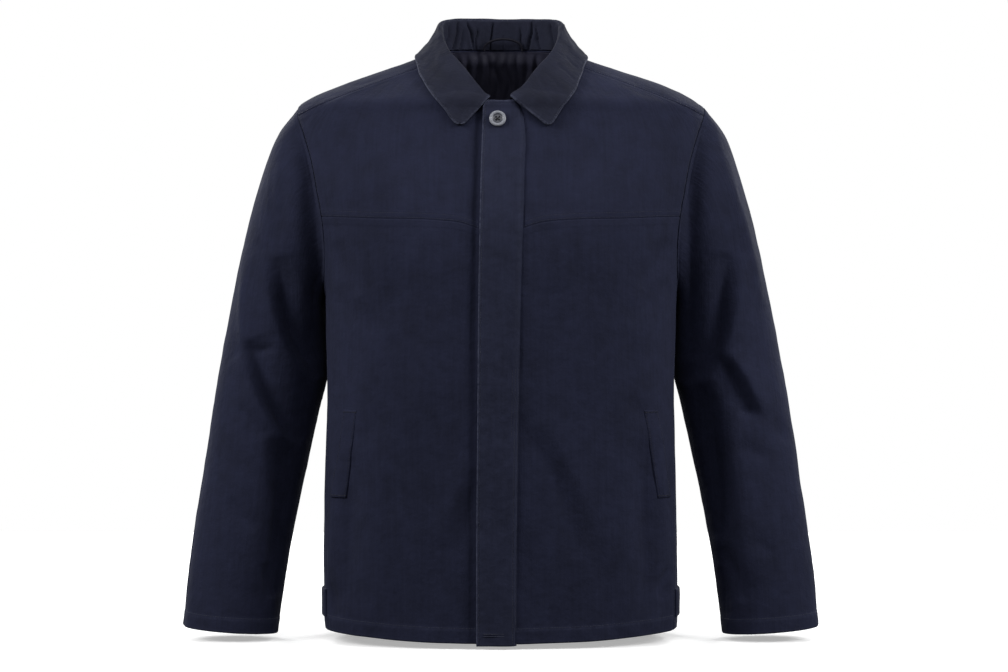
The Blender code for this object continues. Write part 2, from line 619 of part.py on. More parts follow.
# ---------------------------------------------------------------- sleeves
for label, side in SIDES.items():
    share = np.linspace(0, 1, SLEEVE_RINGS)[:, None] ** RING_BUNCHING
    share, turn = np.broadcast_arrays(share, ARM_TURNS[None, :])
    base = sleeve_surface(share, turn, side)
    normals = sleeve_normal(share, turn, side)
    points = creased(base, normals, SLEEVE_CREASES)
    normals[0] = armhole_normals(ARM_TURNS, side)[1]
    points[0] = base[0] + np.array([side * SEAM_GAP, 0, 0])
    cloth_wall("sleeve_" + label, points, points - CLOTH * normals, shell_cloth, tube=True)


# ---------------------------------------------------------------- collar
def collar_stations():
    """Neckline points shared with the panels, parted finer where the inner side gathers."""
    front = neck_front_angles[1:]
    coarse = np.concatenate([front[:-1], neck_back_angles, 360 - front[::-1][1:]])
    seam = shell_form(coarse, neck_height(coarse))
    few, many = STATION_PARTS
    parting = [few] * (len(front) - 1) + [many] * NECK_BACK_STEPS + [few] * (len(front) - 1)
    angles = []
    points = []
    for number, pieces in enumerate(parting):
        for piece in range(pieces):
            part = piece / pieces
            angles.append(coarse[number] * (1 - part) + coarse[number + 1] * part)
            points.append(seam[number] * (1 - part) + seam[number + 1] * part)
    angles.append(coarse[-1])
    points.append(seam[-1])
    return np.array(angles), np.array(points)


def gathers(across, table, width):
    """Depth of all the gathers at places across."""
    depth = np.zeros_like(across)
    for place, drop in table:
        depth += drop * np.exp(-((across - place) / width) ** 2)
    return depth


collar_angles, neck_points = collar_stations()
folded = np.where(collar_angles > 180, 360 - collar_angles, collar_angles)
sides = np.where(collar_angles > 180, -1.0, 1.0)


def collar_column(name):
    left = column(COLLAR_LEFT, name, folded, key="angle")
    return np.where(sides > 0, left, column(COLLAR_RIGHT, name, folded, key="angle"))


def leaf_lift(across):
    """How far the leaf stands off the shell: more over the fly's corner."""
    near, far = FLY_CORNER
    over_fly = np.clip((far - across) / (far - near), 0, 1) * (across > 0)
    return LEAF_LIFT + LEAF_OVER_FLY * over_fly


fold = np.stack([collar_column("fold_x") * sides, collar_column("fold_y"),
                 collar_column("fold_z")], axis=-1)
leaf_angle = collar_column("leaf_angle") * sides
leaf_height = collar_column("leaf_height")
leaf_rise = leaf_lift(shell_form(leaf_angle, leaf_height)[:, 0])
leaf, leaf_normal = shell(leaf_angle, leaf_height, leaf_rise)
stand_up = unit(fold - neck_points)
along_neck = unit(np.gradient(neck_points, axis=0))
outward = unit(np.cross(along_neck, stand_up))
fall_down = leaf - fold
fall_down = unit(fall_down - np.sum(fall_down * along_neck, axis=-1, keepdims=True) * along_neck)
drop = np.sum(fall_down * stand_up, axis=-1, keepdims=True)
spread_out = np.sum(fall_down * outward, axis=-1, keepdims=True)
fall_normal = unit(spread_out * stand_up - drop * outward)
bend = np.arctan2(spread_out, drop) % (2 * math.pi)


def bend_normal(part):
    """Direction out of the collar's fold, part of the way round it."""
    return -np.cos(bend * part) * outward + np.sin(bend * part) * stand_up


fold_centre = fold - (FOLD_RADIUS + COLLAR_CLOTH) * bend_normal(0.5)
stand_foot = neck_points + SEAM_GAP * stand_up
stand_top = fold_centre - FOLD_RADIUS * outward
leaf_top = fold_centre + FOLD_RADIUS * fall_normal
gather = gathers(fold[:, 0], COLLAR_GATHERS, COLLAR_GATHER_WIDTH)
gather = (gather * np.clip((folded - GATHERED_FROM) / GATHERED_SPAN, 0, 1))[:, None]
bow = smooth(*zip(*FALL_BOW), folded)[:, None]
under = [stand_foot,
         stand_foot * 0.55 + stand_top * 0.45 + gather * outward,
         stand_top + gather * 0.8 * outward,
         fold_centre + FOLD_RADIUS * bend_normal(ROLL_PARTS[0]),
         fold_centre + FOLD_RADIUS * bend_normal(ROLL_PARTS[1]),
         leaf_top,
         leaf_top * 0.84 + leaf * 0.16 + 0.6 * bow * fall_normal,
         leaf_top * 0.60 + leaf * 0.40 + bow * fall_normal,
         leaf_top * 0.28 + leaf * 0.72 + 0.7 * bow * fall_normal,
         leaf]
facing = [-outward, -outward, -outward, bend_normal(ROLL_PARTS[0]), bend_normal(ROLL_PARTS[1]),
          fall_normal, fall_normal,
          unit(fall_normal * 0.7 + leaf_normal * 0.3), unit(fall_normal * 0.3 + leaf_normal * 0.7),
          leaf_normal]
under = np.stack(under)
facing = np.stack(facing)
under[5:-1] = clear_of_shell(under[5:-1], leaf_lift(under[5:-1, :, 0]))
collar_cloth = cloth_material("navy_cotton_collar", NAVY_COLLAR)
cloth_wall("collar", under + COLLAR_CLOTH * facing, under, collar_cloth)

# ---------------------------------------------------------------- back lining
down = np.linspace(0, 1, LINING_ROWS)[:, None]
half_turn = LINING_TURN_TOP + (LINING_TURN_FOOT - LINING_TURN_TOP) * down
turn = 180 + half_turn * np.linspace(-1, 1, LINING_STEPS)[None, :]
height = (neck_height(turn) - LINING_TOP_GAP) * (1 - down) + LINING_BOTTOM * down
surface, normals = shell(turn, height)
slack = gathers(surface[..., 0], LINING_GATHERS, LINING_GATHER_WIDTH) * (1 - down) ** 0.7
clearance = LINING_CLEARANCE * (0.6 + 0.4 * np.minimum(down * LINING_ROWS, 1))
depth = CLOTH + clearance + LINING_SLACK - slack + LINING_FALL * down
lining_outer = surface - depth[..., None] * normals
lining_cloth = cloth_material("lining", NAVY_DARK, roughness=0.55)
cloth_wall("back_lining", lining_outer, lining_outer - LINING_CLOTH * normals, lining_cloth)

# ---------------------------------------------------------------- hanger loop
LOOP_HALF_SPAN = 0.0245
LOOP_RISE = 0.0150
LOOP_RADIUS = 0.0015
LOOP_MIDDLE = 0.0030
LOOP_FOOT = 0.0155
LOOP_PLACE = 0.0602         # its ends, just clear of the collar's inner side
LOOP_LEAN = 0.0040


def cord(name, route, radius, material):
    """Round cord along a smooth route, its ends capped."""
    curve = bpy.data.curves.new(name, "CURVE")
    curve.dimensions = "3D"
    curve.bevel_depth = radius
    curve.bevel_resolution = 1
    curve.use_fill_caps = True
    spline = curve.splines.new("POLY")
    spline.points.add(len(route) - 1)
    for point, place in zip(spline.points, route):
        point.co = (*place, 1)
    piece = bpy.data.objects.new(name, curve)
    parts.objects.link(piece)
    curve.materials.append(material)
    return piece


loop_turn = np.linspace(0, math.pi, 15)
loop_x = LOOP_MIDDLE - LOOP_HALF_SPAN * np.cos(loop_turn)
loop_z = LOOP_FOOT + LOOP_RISE * np.sin(loop_turn) ** 0.8
loop_y = LOOP_PLACE - LOOP_LEAN * np.sin(loop_turn)
cord("hanger_loop", np.stack([loop_x, loop_y, loop_z], axis=-1).tolist(), LOOP_RADIUS, lining_cloth)


# ---------------------------------------------------------------- pieces laid on the front
def front_strip(heights, left_edge_x, right_edge_x, columns, lift_at, thickness):
    """Strip along the front: each row runs across between two edges, moved out from the shell."""
    across = np.linspace(0, 1, columns)[None, :]
    heights = np.asarray(heights, float)[:, None]
    x = np.asarray(left_edge_x)[:, None] * (1 - across) + np.asarray(right_edge_x)[:, None] * across
    heights = np.broadcast_to(heights, x.shape)
    angle = front_angle(x, heights)
    lift = np.broadcast_to(lift_at(x, heights), x.shape)
    lower, normals = shell(angle, heights, lift)
    return lower + thickness * normals, lower


placket_table = np.array(PLACKET)
placket_heights = np.linspace(PLACKET[0][0], PLACKET[-1][0], PLACKET_ROWS)
placket_heights = np.concatenate([placket_heights[:-1], PLACKET[-1][0] - np.array(PLACKET_END_ROWS)])
free_edge = smooth(placket_table[:, 0], placket_table[:, 1], placket_heights)
stitched_edge = smooth(placket_table[:, 0], placket_table[:, 2], placket_heights)
corner_rise = np.clip((placket_heights - PLACKET[-1][0]) / PLACKET_CORNER + 1, 0, 1)
free_edge += PLACKET_CORNER * 0.6 * (1 - np.sqrt(1 - 0.999 * corner_rise ** 2))


def placket_lift(x, heights):
    """Clear of the zip at the middle, down to the stitched edge."""
    table = smooth(placket_table[:, 0], placket_table[:, 2], heights)
    return LAID_GAP + PLACKET_LIFT * np.clip((table - x) / PLACKET_FALL, 0, 1)


placket_outer, placket_under = front_strip(placket_heights, free_edge, stitched_edge, 5,
                                           placket_lift, CLOTH)
cloth_wall("placket", placket_outer, placket_under, shell_cloth)

# zip: tapes behind the front edges, chain between them, slider and pull under the fly
TAPE_WIDTH = 0.0130
TAPE_THICKNESS = 0.0008
TAPE_LIFT = -CLOTH - 0.0011 - TAPE_THICKNESS
CHAIN_HALF = 0.0024
CHAIN_THICKNESS = 0.0024
ZIP_TOP = -0.0710
ZIP_FOOT = -0.7060
ZIP_ROWS = 27
tape_heights = np.linspace(ZIP_FOOT, ZIP_TOP, ZIP_ROWS)
tape_cloth = cloth_material("zip_tape", NAVY_DARK)
zip_metal = cloth_material("zip_metal", STEEL_GREY, roughness=0.35, metallic=1.0)
ones = np.ones(len(tape_heights))
for label, side in SIDES.items():
    inner_edge = side * (CHAIN_HALF + SEAM_GAP)
    outer_edge = side * (CHAIN_HALF + SEAM_GAP + TAPE_WIDTH)
    strip = front_strip(tape_heights, inner_edge * ones, outer_edge * ones, 2,
                        lambda x, heights: TAPE_LIFT, TAPE_THICKNESS)
    cloth_wall("zip_tape_" + label, *strip, tape_cloth)

SLIDER_LENGTH = 0.0100
SLIDER_BRIDGE = 0.0022
SLIDER_PLATE = 0.0041
SLIDER_FOOT = -0.0830
chain_heights = np.linspace(ZIP_FOOT, SLIDER_FOOT - SEAM_GAP, ZIP_ROWS)
strip = front_strip(chain_heights, -CHAIN_HALF * ones, CHAIN_HALF * ones, 2,
                    lambda x, heights: TAPE_LIFT, CHAIN_THICKNESS)
cloth_wall("zip_chain", *strip, zip_metal)


def place_on_front(across, height, lift):
    """Matrix of a small piece on the front: local z out of the cloth, local y up it."""
    angle = front_angle(np.array(across), np.array(height))
    point, normal = shell_form(angle, np.array(height)), shell_normal(angle, np.array(height))
    upward = unit(np.array([0, 0, 1]) - normal[2] * normal)
    sideways = np.cross(upward, normal)
    matrix = np.eye(4)
    matrix[:3, :3] = np.stack([sideways, upward, normal], axis=-1)
    matrix[:3, 3] = point + lift * normal
    return matrix


def boxes(name, sizes, material, matrix):
    """One solid from boxes of (x, y, z low, x, y, z high) that meet, placed by a matrix."""
    built = None
    for low_x, low_y, low_z, high_x, high_y, high_z in sizes:
        box = bmesh.new()
        bmesh.ops.create_cube(box, size=1)
        scale = (high_x - low_x, high_y - low_y, high_z - low_z)
        bmesh.ops.scale(box, vec=scale, verts=box.verts)
        centre = ((low_x + high_x) / 2, (low_y + high_y) / 2, (low_z + high_z) / 2)
        bmesh.ops.translate(box, vec=centre, verts=box.verts)
        mesh = bpy.data.meshes.new(name)
        box.to_mesh(mesh)
        box.free()
        if built is None:
            mesh.materials.append(material)
            built = bpy.data.objects.new(name, mesh)
            parts.objects.link(built)
            continue
        cutter = bpy.data.objects.new(name + "_block", mesh)
        cutters.objects.link(cutter)
        cutter.hide_render = True
        cutter.display_type = "WIRE"
        union = built.modifiers.new("join", "BOOLEAN")
        union.operation = "UNION"
        union.object = cutter
        cutter.matrix_world = matrix.T.tolist()
    built.matrix_world = matrix.T.tolist()
    return built


slider_middle = SLIDER_FOOT + SLIDER_LENGTH / 2
slider_place = place_on_front(0.0, slider_middle, 0.0)
half = SLIDER_LENGTH / 2
# its bridge, then its front and back plates on either side of the tapes
boxes("zip_slider", [(-SLIDER_BRIDGE, -half, -0.0050, SLIDER_BRIDGE, half, 0.0001),
                     (-SLIDER_PLATE, -half, -0.0024, SLIDER_PLATE, half, -0.0012),
                     (-SLIDER_PLATE, -half, -0.0056, SLIDER_PLATE, half, -0.0046)],
      zip_metal, slider_place)
PULL_LENGTH = 0.0260
PULL_WIDTH = 0.0060
PULL_THICKNESS = 0.0008
PULL_LIFT = 0.0008
PULL_DROP = 0.0100         # its middle hangs this far below the slider's
PULL_TAPER = 0.6
pull_place = place_on_front(0.0, slider_middle - PULL_DROP, PULL_LIFT)
pull_outline = bpy.data.curves.new("zip_pull", "CURVE")
pull_outline.dimensions = "2D"
pull_outline.fill_mode = "BOTH"
pull_outline.extrude = PULL_THICKNESS / 2
pull_outline.resolution_u = 6
pull_outline.render_resolution_u = 0
tab = pull_outline.splines.new("BEZIER")
tab.bezier_points.add(3)
corners = ((-PULL_WIDTH / 2, -PULL_LENGTH / 2), (PULL_WIDTH / 2, -PULL_LENGTH / 2),
           (PULL_WIDTH / 2 * PULL_TAPER, PULL_LENGTH / 2),
           (-PULL_WIDTH / 2 * PULL_TAPER, PULL_LENGTH / 2))
for point, (x, y) in zip(tab.bezier_points, corners):
    point.co = (x, y, 0)
    point.handle_left_type = "VECTOR"
    point.handle_right_type = "VECTOR"
tab.use_cyclic_u = True
pull_outline.materials.append(zip_metal)
pull = bpy.data.objects.new("zip_pull", pull_outline)
parts.objects.link(pull)
pull.matrix_world = pull_place.T.tolist()

# button: a turned profile with a raised rim, dished, with four holes
button_material = cloth_material("button_horn", HORN_GREY, roughness=0.35)
r = BUTTON_RADIUS
t = BUTTON_THICKNESS
profile = ((0.0, t * 0.50), (r * 0.52, t * 0.52), (r * 0.66, t * 0.90), (r * 0.84, t),
           (r * 0.97, t * 0.80), (r, t * 0.52), (r * 0.93, t * 0.16), (r * 0.78, 0.0), (0.0, 0.0))
turned = bpy.data.meshes.new("button")
turned.from_pydata([(x, 0, z) for x, z in profile], [(i, i + 1) for i in range(len(profile) - 1)], [])
button = bpy.data.objects.new("button", turned)
parts.objects.link(button)
turned.materials.append(button_material)
screw = button.modifiers.new("turn", "SCREW")
screw.steps = BUTTON_STEPS
screw.render_steps = BUTTON_STEPS
screw.use_merge_vertices = True
screw.merge_threshold = 0.0001
button_seat = LAID_GAP + PLACKET_LIFT + CLOTH + BUTTON_GAP
button_place = place_on_front(BUTTON_X, BUTTON_Z, button_seat)
button.matrix_world = button_place.T.tolist()
HOLE_RADIUS = 0.0010
HOLE_PITCH = 0.0019
for number, (x, y) in enumerate(((1, 1), (-1, 1), (-1, -1), (1, -1))):
    drill = bmesh.new()
    bmesh.ops.create_cone(drill, cap_ends=True, segments=8, radius1=HOLE_RADIUS,
                          radius2=HOLE_RADIUS, depth=4 * t)
    bmesh.ops.translate(drill, vec=(x * HOLE_PITCH, y * HOLE_PITCH, 0), verts=drill.verts)
    mesh = bpy.data.meshes.new("button_hole")
    drill.to_mesh(mesh)
    drill.free()
    cutter = bpy.data.objects.new("button_hole_%d" % number, mesh)
    cutters.objects.link(cutter)
    cutter.hide_render = True
    cutter.display_type = "WIRE"
    cutter.matrix_world = button_place.T.tolist()
    cut = button.modifiers.new("hole_%d" % number, "BOOLEAN")
    cut.operation = "DIFFERENCE"
    cut.object = cutter

# pocket welts: slanted strips on the lower fronts
WELT_TOP = (0.181, -0.4365)
WELT_FOOT = (0.197, -0.5440)
WELT_WIDTH = 0.017
WELT_THICKNESS = 0.0014
WELT_ROWS = 7
WELT_COLUMNS = 4
for label, side in SIDES.items():
    heights = np.linspace(WELT_FOOT[1], WELT_TOP[1], WELT_ROWS)
    middle = np.linspace(WELT_FOOT[0], WELT_TOP[0], WELT_ROWS)
    strip = front_strip(heights, side * (middle - WELT_WIDTH / 2), side * (middle + WELT_WIDTH / 2),
                        WELT_COLUMNS, lambda x, z: LAID_GAP, WELT_THICKNESS)
    cloth_wall("pocket_welt_" + label, *strip, shell_cloth)

# side tabs: short straps over the side seams at the hem
TAB_FOOT = -0.6925
TAB_TOP = -0.6585
TAB_ANGLES = (80.5, 104.0)
TAB_COLUMNS = 8
TAB_ROWS = 3
for label, side in SIDES.items():
    turn = np.linspace(*TAB_ANGLES, TAB_COLUMNS)[None, :] * side
    height = np.linspace(TAB_FOOT, TAB_TOP, TAB_ROWS)[:, None]
    turn, height = np.broadcast_arrays(turn, height)
    lower, normals = shell(turn, height, LAID_GAP)
    cloth_wall("side_tab_" + label, lower + CLOTH * normals, lower, shell_cloth)
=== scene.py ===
"""Looks of the men's cotton zip-up jacket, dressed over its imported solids.

Metres, +Z up. The viewer stands at -Y and +X is the wearer's left. Each panel is drawn anew on
the form of its solid, as fine as the cloth needs: seams, stitches, puckers, creases and hems.
"""
from collections import namedtuple

import bpy
import numpy as np
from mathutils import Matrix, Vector


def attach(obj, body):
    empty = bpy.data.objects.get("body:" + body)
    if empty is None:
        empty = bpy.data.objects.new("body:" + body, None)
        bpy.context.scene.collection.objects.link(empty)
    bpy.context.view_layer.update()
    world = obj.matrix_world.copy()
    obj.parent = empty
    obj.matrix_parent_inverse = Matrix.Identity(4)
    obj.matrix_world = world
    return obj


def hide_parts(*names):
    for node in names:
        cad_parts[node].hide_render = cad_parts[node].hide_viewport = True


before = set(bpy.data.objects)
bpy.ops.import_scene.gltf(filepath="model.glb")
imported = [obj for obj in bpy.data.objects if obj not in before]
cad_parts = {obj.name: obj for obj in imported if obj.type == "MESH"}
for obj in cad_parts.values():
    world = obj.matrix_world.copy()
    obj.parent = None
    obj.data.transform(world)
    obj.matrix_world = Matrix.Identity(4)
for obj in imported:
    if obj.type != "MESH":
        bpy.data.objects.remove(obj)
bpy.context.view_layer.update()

# ================================================================ back
# One panel of navy cotton twill, cut from side seam to side seam and from the neck to the hem.
# Its hem is turned up and stitched, and its other edges are joined by plain pressed seams.
CLOTH = 0.0020
SEAM_GAP = 0.0003
SEAM_SLANT = 0.25             # lean of a level seam's two edges through the cloth
HEM_DEPTH = 0.0190            # from the folded edge up to its row of stitches
TURNINGS = 0.008              # width of the cloth that is turned in at a seam
SEAM_STITCH = 0.0016          # from a seam to the row of stitches beside it

# Level sections of the form that all the panels are cut for: an oval, wider than deep
Ring = namedtuple("Ring", "height half_width front back middle squareness")
FORM = (
    Ring(-0.720, 0.2170, 0.110, 0.128, -0.014, 2.40),
    Ring(-0.705, 0.2185, 0.111, 0.129, -0.014, 2.40),
    Ring(-0.650, 0.2195, 0.114, 0.132, -0.016, 2.40),
    Ring(-0.570, 0.2180, 0.119, 0.137, -0.019, 2.35),
    Ring(-0.480, 0.2165, 0.126, 0.142, -0.020, 2.30),
    Ring(-0.400, 0.2150, 0.132, 0.148, -0.019, 2.30),
    Ring(-0.345, 0.2165, 0.138, 0.150, -0.015, 2.30),
    Ring(-0.300, 0.2185, 0.145, 0.147, -0.008, 2.35),
    Ring(-0.250, 0.2255, 0.149, 0.144, -0.003, 2.40),
    Ring(-0.205, 0.2340, 0.146, 0.139, 0.000, 2.40),
    Ring(-0.170, 0.2425, 0.139, 0.132, 0.003, 2.40),
    Ring(-0.132, 0.2510, 0.1295, 0.121, 0.007, 2.30),
    Ring(-0.095, 0.2575, 0.1185, 0.109, 0.010, 2.20),
    Ring(-0.075, 0.2585, 0.1125, 0.102, 0.010, 2.10),
    Ring(-0.061, 0.2530, 0.109, 0.097, 0.010, 2.05),
    Ring(-0.050, 0.2385, 0.096, 0.093, 0.010, 2.00),
    Ring(-0.034, 0.2010, 0.076, 0.087, 0.010, 2.00),
    Ring(-0.015, 0.1475, 0.053, 0.079, 0.010, 2.00),
    Ring(0.000, 0.1050, 0.037, 0.072, 0.010, 2.00),
    Ring(0.008, 0.0860, 0.028, 0.067, 0.010, 2.00),
    Ring(0.018, 0.0660, 0.018, 0.060, 0.010, 2.00),
    Ring(0.026, 0.0520, 0.012, 0.055, 0.010, 2.00),
)
HEM = ((0, -0.7172), (12, -0.7172), (25, -0.7166), (50, -0.7148), (64, -0.7118), (78, -0.7090),
       (105, -0.7085), (180, -0.7085))
SIDE_SEAM = ((-0.710, -0.052), (-0.600, -0.056), (-0.500, -0.055), (-0.420, -0.048),
             (-0.350, -0.026), (-0.3005, 0.008))
NECKLINE = ((0, -0.0625), (15, -0.0580), (30, -0.0480), (45, -0.0310), (60, -0.0155),
            (67.6, -0.0080), (80, 0.0040), (90, 0.0085), (105, 0.0118), (120, 0.0145),
            (150, 0.0172), (180, 0.0180))
CORE_TOP = -0.16
NECK_POINT = 67.6             # turn from the front at which the shoulder seam meets the neck

# Armhole in side view: an egg, by its turn from the top through the front to the armpit
ARMHOLE_TOP = -0.0613
ARMHOLE_BOTTOM = -0.3005
ARMHOLE_MIDDLE = 0.008
ARMHOLE_FRONT = 0.072
ARMHOLE_BACK = 0.086
ARMHOLE_LOW_BULGE = 0.25
SHOULDER_TURN = 27.0
SIDE_TURN = 180.0
TOP_REACH = 5

Crease = namedtuple("Crease", "face depth left right line")


def crease_rows(face, *rows):
    """Creases of one face, as they lie in front view.

    A row has the depth, above 0 for a trough and below for a ridge, the reach to the left and
    to the right, and then the points (x, z) of its line, written from the top.
    """
    return [Crease(face, depth, left, right, np.array(line)) for depth, left, right, *line in rows]


BODY_CREASES = crease_rows(
    "front",
    # the fronts: the long drag from the fly to the hem, its ridge, and the puffed cloth beside it
    (0.0036, 0.017, 0.012, (0.016, -0.44), (0.025, -0.457), (0.05, -0.492), (0.07, -0.528),
     (0.083, -0.566), (0.094, -0.615)),
    (-0.0026, 0.01, 0.024, (0.044, -0.44), (0.074, -0.486), (0.094, -0.53), (0.108, -0.58)),
    (-0.0022, 0.016, 0.012, (-0.036, -0.488), (-0.047, -0.522), (-0.062, -0.56), (-0.07, -0.6)),
    (0.0018, 0.012, 0.012, (-0.03, -0.505), (-0.036, -0.541), (-0.044, -0.582), (-0.047, -0.615)),
    # upright soft folds beside the side seams, and the crinkles that the hem's tabs draw in
    (-0.0042, 0.01, 0.014, (-0.199, -0.5), (-0.203, -0.56), (-0.204, -0.62), (-0.203, -0.665)),
    (0.0048, 0.012, 0.016, (-0.18, -0.49), (-0.184, -0.56), (-0.186, -0.62), (-0.19, -0.68)),
    (0.0042, 0.005, 0.006, (-0.206, -0.648), (-0.206, -0.664), (-0.2035, -0.68), (-0.2, -0.692)),
    (-0.0044, 0.014, 0.01, (0.188, -0.44), (0.193, -0.52), (0.197, -0.59), (0.2, -0.65)),
    (0.005, 0.016, 0.012, (0.17, -0.47), (0.174, -0.56), (0.178, -0.63), (0.183, -0.69)),
    (0.0036, 0.005, 0.005, (0.205, -0.628), (0.198, -0.646), (0.193, -0.668)),
    (0.0032, 0.004, 0.005, (0.208, -0.65), (0.2, -0.664), (0.194, -0.684)),
    # drags that fan out below the armpits
    (0.0036, 0.008, 0.01, (-0.203, -0.232), (-0.19, -0.262), (-0.172, -0.3)),
    (0.0018, 0.009, 0.011, (-0.2, -0.288), (-0.18, -0.318), (-0.15, -0.346)),
    (-0.0014, 0.009, 0.009, (-0.196, -0.262), (-0.178, -0.294), (-0.156, -0.322)),
    (0.0038, 0.01, 0.008, (0.205, -0.228), (0.19, -0.258), (0.17, -0.292)),
    (0.0018, 0.011, 0.009, (0.2, -0.28), (0.18, -0.308), (0.15, -0.332)),
    (-0.0014, 0.009, 0.009, (0.198, -0.256), (0.18, -0.284), (0.156, -0.31)),
    # small unevenness over the fronts
    (0.0012, 0.009, 0.009, (0.15, -0.42), (0.166, -0.436), (0.182, -0.455)),
    (0.0013, 0.01, 0.012, (-0.14, -0.44), (-0.16, -0.466), (-0.176, -0.482)),
    (0.0012, 0.014, 0.012, (0.06, -0.285), (0.066, -0.35), (0.078, -0.415)),
    (-0.0012, 0.016, 0.014, (-0.084, -0.31), (-0.09, -0.39), (-0.098, -0.465)),
    (0.0011, 0.012, 0.01, (-0.118, -0.23), (-0.124, -0.3), (-0.116, -0.37)),
    (0.0018, 0.011, 0.013, (-0.13, -0.585), (-0.122, -0.64), (-0.118, -0.712)),
    (0.0017, 0.013, 0.011, (0.118, -0.59), (0.126, -0.65), (0.128, -0.712)),
    (0.001, 0.012, 0.01, (0.1, -0.1), (0.112, -0.14), (0.118, -0.19)),
    (0.001, 0.01, 0.012, (-0.106, -0.105), (-0.112, -0.15), (-0.108, -0.195)),
) + crease_rows(
    "back",
    # the back: two long drags down from the shoulder blades, one from the waist, and the hem's
    (0.0048, 0.02, 0.028, (-0.13, -0.19), (-0.118, -0.26), (-0.1, -0.35), (-0.086, -0.45)),
    (0.0052, 0.028, 0.02, (0.138, -0.185), (0.124, -0.265), (0.106, -0.36), (0.094, -0.47)),
    (-0.0024, 0.02, 0.02, (-0.07, -0.23), (-0.058, -0.31), (-0.05, -0.4)),
    (0.004, 0.03, 0.026, (0.014, -0.39), (0.006, -0.47), (-0.01, -0.57), (-0.016, -0.67)),
    (-0.004, 0.024, 0.02, (0.098, -0.47), (0.112, -0.56), (0.124, -0.65), (0.128, -0.7)),
    (-0.0036, 0.018, 0.024, (-0.092, -0.49), (-0.108, -0.59), (-0.122, -0.69)),
    (0.003, 0.012, 0.01, (-0.216, -0.18), (-0.186, -0.212), (-0.146, -0.242)),
    (0.0032, 0.01, 0.013, (0.218, -0.172), (0.186, -0.206), (0.148, -0.238)),
    (0.0022, 0.01, 0.012, (-0.206, -0.258), (-0.18, -0.284), (-0.146, -0.306)),
    (0.0022, 0.012, 0.009, (0.206, -0.25), (0.172, -0.284), (0.136, -0.304)),
    (0.0013, 0.014, 0.014, (-0.07, -0.058), (0, -0.07), (0.058, -0.064)),
    (0.002, 0.012, 0.016, (0.064, -0.315), (0.052, -0.38), (0.038, -0.455)),
    (-0.002, 0.016, 0.013, (-0.044, -0.505), (-0.052, -0.57), (-0.062, -0.64)),
    (0.0022, 0.012, 0.016, (0.176, -0.4), (0.162, -0.46), (0.146, -0.54)),
    (0.002, 0.016, 0.011, (-0.172, -0.42), (-0.162, -0.5), (-0.148, -0.58)),
    (0.002, 0.009, 0.011, (0.058, -0.625), (0.063, -0.67), (0.067, -0.712)),
    (-0.0016, 0.01, 0.01, (-0.062, -0.63), (-0.058, -0.672), (-0.054, -0.712)),
)


def smooth(places, values, where):
    """Cubic curve through values at places, each slope taken from both neighbours."""
    places = np.asarray(places, float)
    values = np.asarray(values, float)
    slopes = np.gradient(values, places, axis=0)
    where = np.clip(np.asarray(where, float), places[0], places[-1])
    left = np.clip(np.searchsorted(places, where) - 1, 0, len(places) - 2)
    span = places[left + 1] - places[left]
    part = (where - places[left]) / span
    rise = (2 * part + 1) * (1 - part) ** 2 * values[left]
    rise += part ** 2 * (3 - 2 * part) * values[left + 1]
    rise += span * part * (1 - part) ** 2 * slopes[left]
    return rise - span * part ** 2 * (1 - part) * slopes[left + 1]


def column(table, name, where, key="height"):
    """One named column of a table, smoothly between its rows."""
    return smooth([getattr(row, key) for row in table], [getattr(row, name) for row in table],
                  where)


def unit(vectors):
    """Vectors divided by their lengths."""
    return vectors / np.linalg.norm(vectors, axis=-1, keepdims=True)


def ease(low, high, value):
    """0 below low, 1 above high, and 3t^2 - 2t^3 between them."""
    part = np.clip((value - low) / (high - low), 0, 1)
    return part * part * (3 - 2 * part)


def bell(value, width, power=2):
    """1 at 0, and falling away from it: exp(-(value / width)^power)."""
    return np.exp(-(value / width) ** power)


def form_reach(angle, height):
    """Distance from the middle line out to the form: (sin/width)^p + (cos/depth)^p, to the -1/p."""
    turn = np.radians(angle)
    ahead = np.cos(turn)
    depth = np.where(ahead > 0, column(FORM, "front", height), column(FORM, "back", height))
    power = column(FORM, "squareness", height)
    total = (np.abs(np.sin(turn)) / column(FORM, "half_width", height)) ** power
    return (total + (np.abs(ahead) / depth) ** power) ** (-1 / power)


def on_form(angle, height):
    """Point of the form: its reach turned by the angle from the front, at a height."""
    turn = np.radians(angle)
    reach = form_reach(angle, height)
    along = column(FORM, "middle", height) - reach * np.cos(turn)
    return np.stack([reach * np.sin(turn), along, np.broadcast_to(height, along.shape)], axis=-1)


def onto_form(points):
    """(angle, height) where a ray from the core through each point meets the form, by halving."""
    core = points * np.array([0.0, 0.0, 1.0])
    core[..., 2] = np.minimum(core[..., 2], CORE_TOP)
    low = np.full(points.shape[:-1], 0.3)
    high = np.full(points.shape[:-1], 2.5)
    for _ in range(26):
        share = (low + high) / 2
        place = core + share[..., None] * (points - core)
        along = place[..., 1] - column(FORM, "middle", place[..., 2])
        angle = np.degrees(np.arctan2(place[..., 0], -along))
        outside = np.hypot(place[..., 0], along) > form_reach(angle, place[..., 2])
        low = np.where(outside, low, share)
        high = np.where(outside, share, high)
    return np.stack([angle % 360, place[..., 2]], axis=-1)


def form_normal(angle, height):
    """Outward direction: a small step round the form crossed with a small step up it."""
    around = on_form(angle + 0.02, height) - on_form(angle - 0.02, height)
    upward = on_form(angle, height + 0.0001) - on_form(angle, height - 0.0001)
    return unit(np.cross(around, upward))


